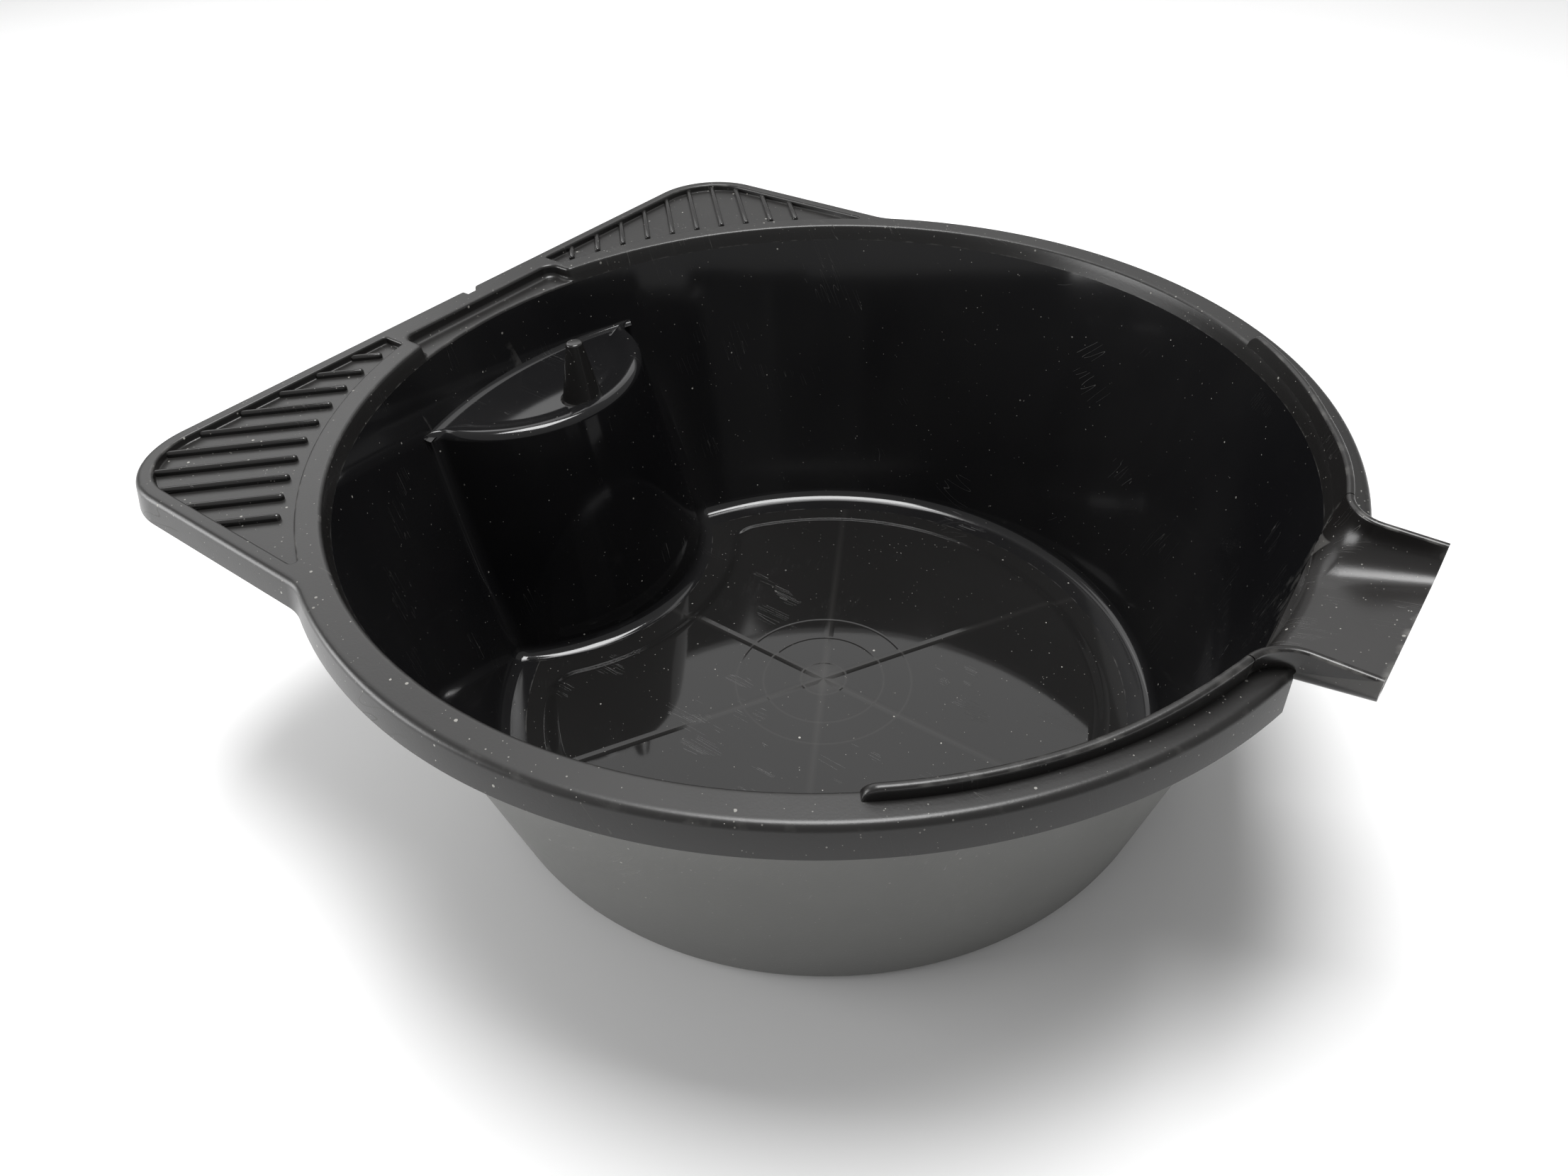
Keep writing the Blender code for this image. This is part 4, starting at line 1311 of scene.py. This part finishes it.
class ShaderGroups:
    """The effects that every finish shares, each built once as a node group."""

    def start(self, name: str, output: str, *inputs: str) -> tuple[NodeBench, dict[str, Socket], Socket]:
        """Open a new group.

        Args:
            name: group name.
            output: name of its one output.
            inputs: names of its value inputs; the first is always the place.

        Returns:
            The bench, the inputs by name and the output socket.
        """
        tree = bpy.data.node_groups.new(name, 'ShaderNodeTree')
        tree.interface.new_socket("Vector", in_out='INPUT', socket_type='NodeSocketVector')
        for key in inputs:
            tree.interface.new_socket(key, in_out='INPUT', socket_type='NodeSocketFloat')
        tree.interface.new_socket(output, in_out='OUTPUT', socket_type='NodeSocketFloat')
        bench = NodeBench(tree)
        source, sink = bench.add('NodeGroupInput'), bench.add('NodeGroupOutput')
        return bench, {s.name: s for s in source.outputs if s.name}, sink.inputs[0]

    def specks(self) -> None:
        """Grains of dust: a share of the cells of a Voronoi pattern holds one each."""
        bench, given, out = self.start("dust_specks", "Mask", "Cells", "Share", "Size")
        cell = bench.add('ShaderNodeTexVoronoi')
        bench.feed(cell.inputs["Vector"], given["Vector"])
        bench.feed(cell.inputs["Scale"], given["Cells"])
        pick, size, tone = bench.split(cell.outputs["Color"])
        held = bench.math('LESS_THAN', pick, given["Share"])
        radius = bench.math('MULTIPLY', given["Size"], bench.math('POWER', size, 2.0))
        inside = bench.math('LESS_THAN', cell.outputs["Distance"], radius)
        grain = bench.math('MULTIPLY', held, inside)
        bench.feed(out, bench.math('MULTIPLY', grain, bench.span(tone, 0.0, 1.0, 0.3, 1.0)))

    def scratches(self) -> None:
        """Hairline scratches in three directions, broken up by a slow noise."""
        bench, given, out = self.start("fine_scratches", "Mask", "Scale", "Width", "Share")
        total = None
        for turn in ((20.0, 35.0, 10.0), (70.0, -20.0, 65.0), (-40.0, 10.0, 120.0)):
            line = bench.noise(bench.stretch(given["Vector"], turn, (1.0, 34.0, 1.0)), given["Scale"], 0.0)
            off = bench.math('ABSOLUTE', bench.math('SUBTRACT', line, 0.5))
            ridge = bench.math('LESS_THAN', off, given["Width"])
            patch = bench.noise(bench.stretch(given["Vector"], turn, (1.0, 1.6, 1.3)), given["Scale"], 2.0)
            kept = bench.math('LESS_THAN', patch, given["Share"])
            mask = bench.math('MULTIPLY', ridge, kept)
            total = mask if total is None else bench.math('MAXIMUM', total, mask)
        bench.feed(out, total)

    def grain(self) -> None:
        """Height of the fine moulded grain."""
        bench, given, out = self.start("moulded_grain", "Height", "Scale")
        fine = bench.noise(given["Vector"], given["Scale"], 4.0)
        wide = bench.noise(given["Vector"], bench.math('MULTIPLY', given["Scale"], 0.22), 2.0)
        bench.feed(out, bench.math('MULTIPLY_ADD', wide, 0.6, fine))

    def smudges(self) -> None:
        """Slow uneven haze left by wiping and handling, 0 to 1."""
        bench, given, out = self.start("handling_haze", "Haze", "Scale")
        slow = bench.noise(given["Vector"], given["Scale"], 4.0)
        swept = bench.stretch(given["Vector"], (10.0, 25.0, 40.0), (1.0, 3.5, 1.0))
        wiped = bench.noise(swept, given["Scale"], 3.0)
        both = bench.math('MULTIPLY', bench.span(slow, 0.32, 0.68), bench.span(wiped, 0.3, 0.75, 0.35, 1.0))
        bench.feed(out, both)

    def wear(self) -> None:
        """Worn corners: the mesh's own edge mark, broken up by noise."""
        bench, given, out = self.start("corner_wear", "Mask", "Corner", "Scale")
        rough = bench.noise(given["Vector"], given["Scale"], 5.0)
        strength = bench.math('MULTIPLY', given["Corner"], bench.span(rough, 0.35, 0.7))
        bench.feed(out, bench.span(strength, 0.3, 1.0, 0.0, 0.8))

    def build(self) -> None:
        """Build every group."""
        self.specks()
        self.scratches()
        self.grain()
        self.smudges()
        self.wear()


@dataclass(frozen=True)
class PlasticFinish:
    """A black moulded plastic finish.

    Attributes:
        colour: clean colour.
        hazed: colour where it is smudged and dusty.
        worn: colour of rubbed corners and scratches.
        roughness: clean roughness.
        haze_rough: roughness that the haze adds.
        haze_share: how much of the hazed colour the haze brings.
        grain: depth of the moulded grain, in millimetres.
        grain_scale: grains per metre.
        dust: share of dust cells that hold a speck.
        dust_cells: dust cells per metre.
        dust_size, mote_size: size of the grains, and of the finer ones between them.
        dust_tone: colour of the dust.
        dust_rise: height of a grain, in millimetres.
        dull_and_sheen_colour: colour where sheen() marks: painted sheen on the disc, the duller satin on the
            spout.
        dull_rough: roughness that it has there besides its own.
        scratch: share of the surface with scratches.
        scratch_scale, scratch_width: pattern scale and half width of the scratches.
        scratch_depth: in millimetres.
        mark_rough: roughness that dust and scratches add.
        haze_scale, wear_scale: pattern scales of the haze and of the worn corners.
        settle: extra haze on faces that look up.
    """

    name: str
    colour: Colour
    hazed: Colour
    worn: Colour
    roughness: float
    haze_rough: float = 0.1
    haze_share: float = 0.5
    grain: float = 0.02
    grain_scale: float = 1400.0
    dust: float = 0.05
    dust_cells: float = 640.0
    dust_size: float = 0.32
    mote_size: float = 0.36
    dust_tone: Colour = (0.42, 0.41, 0.38)
    dust_rise: float = 0.05
    dull_and_sheen_colour: Colour = (0.05, 0.048, 0.046)
    dull_rough: float = 0.22
    scratch: float = 0.42
    scratch_scale: float = 26.0
    scratch_width: float = 0.0035
    scratch_depth: float = 0.01
    mark_rough: float = 0.35
    haze_scale: float = 9.0
    wear_scale: float = 160.0
    settle: float = 0.3

    def dirt(self, bench: NodeBench, place: Socket) -> Socket:
        """Mask of the dust: coarse grains, and finer and fainter ones between them."""
        dust = bench.group("dust_specks", Vector=place, Cells=self.dust_cells, Share=self.dust,
                           Size=self.dust_size)
        motes = bench.group("dust_specks", Vector=place, Cells=2.2 * self.dust_cells, Share=1.8 * self.dust,
                            Size=self.mote_size)
        return bench.math('MAXIMUM', dust, bench.math('MULTIPLY', motes, 0.6))

    def relief(self, bench: NodeBench, place: Socket) -> Socket | None:
        """Extra moulded relief of a finish, in millimetres."""
        return None

    def sheen(self, bench: NodeBench, place: Socket) -> Socket | None:
        """Where a finish is duller than its own roughness, 0 to 1."""
        return None

    def material(self) -> bpy.types.Material:
        """Build the material.

        Returns:
            The material.
        """
        mat = bpy.data.materials.new(self.name)
        mat.use_nodes = True
        bench = NodeBench(mat.node_tree)
        bsdf = mat.node_tree.nodes["Principled BSDF"]
        coords = bench.add('ShaderNodeTexCoord')
        place = coords.outputs["Object"]
        corner = bench.add('ShaderNodeAttribute', attribute_name=CORNER_MARK).outputs["Fac"]
        up = bench.span(bench.split(coords.outputs["Normal"])[2], 0.2, 1.0, 0.0, self.settle)
        haze = bench.group("handling_haze", Vector=place, Scale=self.haze_scale)
        haze = bench.math('MINIMUM', bench.math('MULTIPLY_ADD', haze, 1.0 - self.settle, up), 1.0)
        dust = self.dirt(bench, place)
        scratch = bench.group("fine_scratches", Vector=place, Scale=self.scratch_scale,
                              Width=self.scratch_width, Share=self.scratch)
        worn = bench.group("corner_wear", Vector=place, Corner=corner, Scale=self.wear_scale)
        grain = bench.group("moulded_grain", Vector=place, Scale=self.grain_scale)
        colour = bench.mix(bench.math('MULTIPLY', haze, self.haze_share), self.colour, self.hazed)
        dull_and_sheen = self.sheen(bench, place)
        # Lighter colour where sheen() marks: painted sheen over the disc's spokes, circles and star; the
        # spout's duller satin below its parting line.
        if dull_and_sheen is not None:
            colour = bench.mix(dull_and_sheen, colour, self.dull_and_sheen_colour)
        rubbed = bench.math('MAXIMUM', worn, bench.math('MULTIPLY', scratch, 0.55))
        colour = bench.mix(rubbed, colour, self.worn)
        colour = bench.mix(dust, colour, self.dust_tone)
        bench.feed(bsdf.inputs["Base Color"], colour)
        rough = bench.math('MULTIPLY_ADD', haze, self.haze_rough, self.roughness)
        if dull_and_sheen is not None:
            rough = bench.math('MULTIPLY_ADD', dull_and_sheen, self.dull_rough, rough)
        rough = bench.math('MULTIPLY_ADD', bench.math('MAXIMUM', dust, scratch), self.mark_rough, rough)
        bench.feed(bsdf.inputs["Roughness"], bench.math('MINIMUM', rough, 0.9))
        height = bench.math('MULTIPLY', grain, self.grain)
        height = bench.math('MULTIPLY_ADD', scratch, -self.scratch_depth, height)
        height = bench.math('MULTIPLY_ADD', dust, self.dust_rise, height)
        extra = self.relief(bench, place)
        if extra is not None:
            height = bench.math('ADD', height, extra)
        bump = bench.add('ShaderNodeBump')
        bump.inputs["Distance"].default_value = MM
        bench.feed(bump.inputs["Height"], height)
        bench.feed(bsdf.inputs["Normal"], bump.outputs[0])
        return mat


@dataclass(frozen=True)
class DiscFinish(PlasticFinish):
    """Glossy floor with the witness circles and the ghosts of the spokes below it, with painted sheen over
    them.

    Attributes:
        circles: radii of the witness circles, in millimetres.
        circle_width, spoke_width: half widths of the circles' and the spokes' ghosts.
        spoke_ghost, circle_ghost: depths of the ghosts, in millimetres.
        spoke_dull_and_sheen, circle_dull_and_sheen: how much duller the plastic is there, 0 to 1; its lighter
        colour there is painted sheen.
        fade: radii between which the spokes fade.
        star: radius of the duller star round the gate, also painted lighter as sheen.
    """

    circles: tuple[float, ...] = (9.0, 24.0, 35.0)
    circle_width: float = 0.7
    spoke_width: float = 2.0
    spoke_ghost: float = 0.16
    circle_ghost: float = 0.035
    spoke_dull_and_sheen: float = 0.3
    circle_dull_and_sheen: float = 0.22
    fade: Point2 = (4.0, 96.0)
    star: float = 10.5

    def plan(self, bench: NodeBench, place: Socket) -> tuple[Socket, Socket, Socket]:
        """Plan place about the bowl's axis, in millimetres.

        Args:
            bench: the material's bench.
            place: object coordinates.

        Returns:
            x, y and the distance from the axis.
        """
        node = bench.add('ShaderNodeVectorMath', operation='MULTIPLY_ADD')
        bench.feed(node.inputs[0], place)
        node.inputs[1].default_value = (1.0 / MM, 1.0 / MM, 0.0)
        node.inputs[2].default_value = (-pan_axis_x() / MM, 0.0, 0.0)
        x, y, _ = bench.split(node.outputs[0])
        squares = bench.math('MULTIPLY_ADD', x, x, bench.math('MULTIPLY', y, y))
        return x, y, bench.math('SQRT', squares)

    def marks(self, bench: NodeBench, place: Socket, spoke: float, circle: float) -> Socket:
        """Spokes and circles as one mask.

        Args:
            bench: the material's bench.
            place: object coordinates.
            spoke: strength on a spoke's middle line.
            circle: strength on a circle.

        Returns:
            The mask.
        """
        x, y, radius = self.plan(bench, place)
        total = None
        for turn in (0.0, 60.0, 120.0):
            a = math.radians(turn)
            across = bench.math('MULTIPLY_ADD', x, -math.sin(a), bench.math('MULTIPLY', y, math.cos(a)))
            mark = bench.span(bench.math('ABSOLUTE', across), 0.0, self.spoke_width, spoke, 0.0)
            total = mark if total is None else bench.math('MAXIMUM', total, mark)
        total = bench.math('MULTIPLY', total, bench.span(radius, *self.fade, 1.0, 0.4))
        for ring in self.circles:
            off = bench.math('ABSOLUTE', bench.math('SUBTRACT', radius, ring))
            total = bench.math('ADD', total, bench.span(off, 0.0, self.circle_width, circle, 0.0))
        return total

    def relief(self, bench: NodeBench, place: Socket) -> Socket:
        """Shallow sink marks over the spokes and the circles round the gate."""
        return bench.math('MULTIPLY', self.marks(bench, place, self.spoke_ghost, self.circle_ghost), -1.0)

    def sheen(self, bench: NodeBench, place: Socket) -> Socket:
        """Slightly duller plastic over the spokes, the circles and the gate's star; its lighter colour there
        is painted sheen.
        """
        marks = self.marks(bench, place, self.spoke_dull_and_sheen, self.circle_dull_and_sheen)
        _, _, radius = self.plan(bench, place)
        return bench.math('ADD', marks, bench.span(radius, 0.4 * self.star, self.star, self.spoke_dull_and_sheen, 0.0))


@dataclass(frozen=True)
class SpoutFinish(PlasticFinish):
    """Satin spout, polished above the parting line of its outer faces.

    Attributes:
        seam_start: x where the parting line leaves the rim, in millimetres.
        outer_y: y of the channel's outer faces, in millimetres.
    """

    seam_start: float = 168.8
    outer_y: float = 31.9

    def sheen(self, bench: NodeBench, place: Socket) -> Socket:
        """Duller below the parting line, outside the channel."""
        shape = PanShape.from_frame()
        x, y, z = bench.split(place)
        run = shape.spout_tip - self.seam_start
        rise = (shape.spout_top - shape.rim_z) / run
        start = MM * (shape.rim_z - rise * self.seam_start) - rise * pan_axis_x()
        line = bench.math('MULTIPLY_ADD', x, rise, start)
        below = bench.span(bench.math('SUBTRACT', z, line), -0.25 * MM, 0.15 * MM, 1.0, 0.0)
        inner, outer = (self.outer_y - 0.6) * MM, (self.outer_y - 0.2) * MM
        outside = bench.span(bench.math('ABSOLUTE', y), inner, outer)
        return bench.math('MULTIPLY', below, outside)


@dataclass
class Paints:
    """The pan's finishes as materials.

    Attributes:
        black, grey: clean and hazed colours of the glossy inside.
        pale: its rubbed corners and scratches.
        rubbed: the same on the satin rim.
    """

    black: Colour = (0.0052, 0.0052, 0.0058)
    grey: Colour = (0.019, 0.0185, 0.0185)
    pale: Colour = (0.085, 0.083, 0.08)
    rubbed: Colour = (0.1, 0.098, 0.093)

    def finishes(self) -> list[PlasticFinish]:
        """Every finish of the pan."""
        return [
            PlasticFinish(
                "bowl_gloss_black", self.black, self.grey, self.pale, roughness=0.07, haze_rough=0.07,
                haze_share=0.65, grain=0.003, grain_scale=260.0, dust=0.013, scratch=0.33, settle=0.12),
            DiscFinish(
                "disc_gloss_black", (0.0095, 0.0092, 0.009), self.grey, self.pale, roughness=0.03,
                haze_rough=0.05, haze_share=0.4, grain=0.002, grain_scale=200.0, dust=0.02, scratch=0.33,
                settle=0.12),
            PlasticFinish(
                "rim_satin_black", (0.009, 0.0085, 0.0083), (0.024, 0.0232, 0.0222), self.rubbed,
                roughness=0.28, haze_rough=0.12, haze_share=0.55, grain=0.02, dust=0.05, scratch=0.38),
            # Painted light: the inside's black plastic in a satin finish, coloured grey for the floor and
            # side light on the outer wall.
            PlasticFinish(
                "outside_satin_grey", (0.095, 0.095, 0.091), (0.155, 0.156, 0.147), (0.26, 0.26, 0.25),
                roughness=0.3, haze_rough=0.14, haze_share=0.6, grain=0.02, dust=0.03, scratch=0.4,
                settle=0.2),
            PlasticFinish(
                "rib_gloss_black", (0.0115, 0.011, 0.0108), (0.026, 0.025, 0.024), self.rubbed,
                roughness=0.13, haze_rough=0.05, haze_share=0.4, grain=0.004, dust=0.04, scratch=0.36),
            SpoutFinish(
                "spout_satin_black", (0.0085, 0.0078, 0.0075), (0.026, 0.0242, 0.0232), (0.13, 0.127, 0.12),
                roughness=0.24, haze_rough=0.1, haze_share=0.5, grain=0.01, dust=0.06, scratch=0.38),
        ]

    def build(self) -> dict[str, bpy.types.Material]:
        """Build the groups and every material, by finish name."""
        ShaderGroups().build()
        return {finish.name: finish.material() for finish in self.finishes()}


def mark_corners(obj: bpy.types.Object, full_turn: float = 26.0, reach: float = 5.2) -> None:
    """Store how sharply each vertex stands out, for the corner wear.

    Args:
        obj: the piece.
        full_turn: degrees between faces that count as a full corner.
        reach: vertices with a longer edge, in millimetres, are left unmarked.
    """
    bm = bmesh.new()
    bm.from_mesh(obj.data)
    layer = bm.verts.layers.float.new(CORNER_MARK)
    for vert in bm.verts:
        if max((e.calc_length() for e in vert.link_edges), default=0.0) > reach * MM:
            continue
        turns = [e.calc_face_angle_signed(0.0) for e in vert.link_edges if e.is_manifold]
        vert[layer] = min(max(math.degrees(max(turns, default=0.0)) / full_turn, 0.0), 1.0)
    bm.to_mesh(obj.data)
    bm.free()


# ------------------------------------------------------------------ stage
@dataclass
class Studio:
    """Pale floor, soft light and the camera.

    Attributes:
        eye: the camera's place about the bowl's axis, in metres.
        tilt: the camera's turn, in degrees.
        lens, sensor: in millimetres.
        floor_size, floor_tone: half side of the floor, in metres, and its grey.
        gap: how far the floor lies below the pan, in metres.
        sky: strength of the even light.
        panels: name, place, size and watts of each light panel.
    """

    eye: Point3 = (0.19184, -0.26659, 0.32707)
    tilt: Point3 = (50.0587, 2.0483, 36.4723)
    lens: float = 26.345
    sensor: float = 36.0
    floor_size: float = 6.0
    floor_tone: float = 0.9
    gap: float = 0.0002
    sky: float = 0.38
    panels: tuple = (
        ("panel_overhead", (-0.05, 0.12, 1.5), (0.7, 0.7), 24.0),
        ("panel_beyond_ears", (-1.5, 0.35, 1.1), (1.0, 0.8), 4.0),
        ("panel_far", (-0.8, 1.1, 1.35), (1.5, 1.0), 4.8),
        ("panel_left_low", (-1.15, -0.95, 0.42), (0.9, 0.6), 12.0),
    )

    def camera(self) -> None:
        """Make the scene's camera."""
        data = bpy.data.cameras.new("view")
        data.lens = self.lens
        data.sensor_width = self.sensor
        cam = bpy.data.objects.new("view", data)
        cam.location = (self.eye[0] + pan_axis_x(), self.eye[1], self.eye[2])
        cam.rotation_euler = [math.radians(a) for a in self.tilt]
        bpy.context.scene.collection.objects.link(cam)
        bpy.context.scene.camera = cam

    def floor(self) -> None:
        """Make the pale floor."""
        bm = bmesh.new()
        bmesh.ops.create_grid(bm, x_segments=1, y_segments=1, size=self.floor_size)
        mesh = bpy.data.meshes.new("floor")
        bm.to_mesh(mesh)
        bm.free()
        floor = bpy.data.objects.new("floor", mesh)
        mat = bpy.data.materials.new("pale_floor")
        mat.use_nodes = True
        bsdf = mat.node_tree.nodes["Principled BSDF"]
        bsdf.inputs["Base Color"].default_value = (*(self.floor_tone,) * 3, 1.0)
        bsdf.inputs["Roughness"].default_value = 0.9
        mesh.materials.append(mat)
        bpy.context.scene.collection.objects.link(floor)
        floor.location.z = -self.gap

    def light(self) -> None:
        """Make the soft light: an even sky and the panels, each turned to the pan."""
        world = bpy.data.worlds.new("soft_white")
        world.use_nodes = True
        back = world.node_tree.nodes["Background"]
        back.inputs["Color"].default_value = (1.0, 1.0, 1.0, 1.0)
        back.inputs["Strength"].default_value = self.sky
        bpy.context.scene.world = world
        for name, spot, size, watts in self.panels:
            data = bpy.data.lights.new(name, 'AREA')
            data.shape = 'RECTANGLE'
            data.size, data.size_y = size
            data.energy = watts
            lamp = bpy.data.objects.new(name, data)
            lamp.location = spot
            lamp.rotation_euler = (-Vector(spot)).to_track_quat('-Z', 'Y').to_euler()
            bpy.context.scene.collection.objects.link(lamp)
        bpy.context.scene.view_settings.view_transform = 'Standard'

    def build(self) -> None:
        """Set the stage."""
        self.camera()
        self.floor()
        self.light()


def paint_lit_outside(obj: bpy.types.Object, outside: bpy.types.Material, away: float = 0.5,
                 core: float = 0.1) -> None:
    """Give the faces that look away from the inside of the bowl the outside's finish, in painted-light grey.

    Args:
        obj: the piece.
        outside: material of the outside, a lighter painted-light copy of the black plastic.
        away: how squarely a face has to look down or outwards.
        core: distance from the axis, in metres, within which only faces that look down change.
    """
    obj.data.materials.append(outside)
    axis = Vector((pan_axis_x(), 0.0, 0.0))
    for face in obj.data.polygons:
        spot = face.center - axis
        radial = Vector((spot.x, spot.y, 0.0)).normalized()
        if face.normal.z < -away or (spot.length > core and face.normal.dot(radial) > away):
            face.material_index = 1


def build_pieces(shape: PanShape, paints: dict[str, bpy.types.Material]) -> list[tuple]:
    """Build every piece of the pan, and remove the cutters.

    Args:
        shape: the driving sizes.
        paints: materials by finish name.

    Returns:
        For each piece: the object, its material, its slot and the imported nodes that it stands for.
    """
    gloss, disc = paints["bowl_gloss_black"], paints["disc_gloss_black"]
    satin, ribbed = paints["rim_satin_black"], paints["rib_gloss_black"]
    deck, bowl = RimDeck(shape), Bowl(shape)
    stand, spout = FilterStand(shape), SpoutAndFences(shape)
    way, notch = spout.way(), deck.notch()
    ends = [spout.skirt_end(1), spout.skirt_end(-1)]
    alcove = stand.alcove("alcove_cutter", shape.skin)
    wide_alcove = stand.alcove("alcove_wide_cutter", 0.5 * shape.skin)
    pieces = [
        (deck.build(ends + [way, notch]), satin, Slot.RIM, RIM_NODES),
        (deck.ledge(), satin, Slot.RIM, ("pocket_tray",)),
        (deck.ribs(1), ribbed, Slot.RIM, ()),
        (deck.ribs(-1), ribbed, Slot.RIM, ()),
        (bowl.wall([way, wide_alcove]), gloss, Slot.BOWL, ("bowl_wall", "foot_ring")),
        (bowl.floor([wide_alcove]), disc, Slot.BOWL, ("gutter_floor", "floor_disc")),
        (bowl.underside(), satin, Slot.RIM, ("underside_spokes",)),
        (stand.build(alcove), gloss, Slot.BOWL, ("filter_stand",)),
        (stand.peg(), ribbed, Slot.RIM, ("filter_peg",)),
        (spout.channel(), paints["spout_satin_black"], Slot.SPOUT, ("pour_spout",)),
        (spout.rail(1), satin, Slot.RIM, ("splash_fence_left",)),
        (spout.rail(-1), satin, Slot.RIM, ("splash_fence_right",)),
    ]
    for cutter in [way, notch, alcove, wide_alcove] + ends:
        bpy.data.objects.remove(cutter, do_unlink=True)
    return pieces


def main() -> None:
    """Build the pan, dress it and set the stage."""
    logging.basicConfig(level=logging.INFO, format="%(name)s %(message)s")
    shape = PanShape.from_frame()
    LOG.info("shape %s", shape)
    paints = Paints().build()
    for obj, mat, slot, nodes in build_pieces(shape, paints):
        obj.data.materials.clear()
        obj.data.materials.append(mat)
        # Faces looking outwards or down get the lighter grey outside: painted light on the black plastic.
        if slot is Slot.BOWL:
            paint_lit_outside(obj, paints["outside_satin_grey"])
        mark_corners(obj)
        place(obj, slot, *nodes)
    Studio().build()


if __name__ == "__main__":
    main()
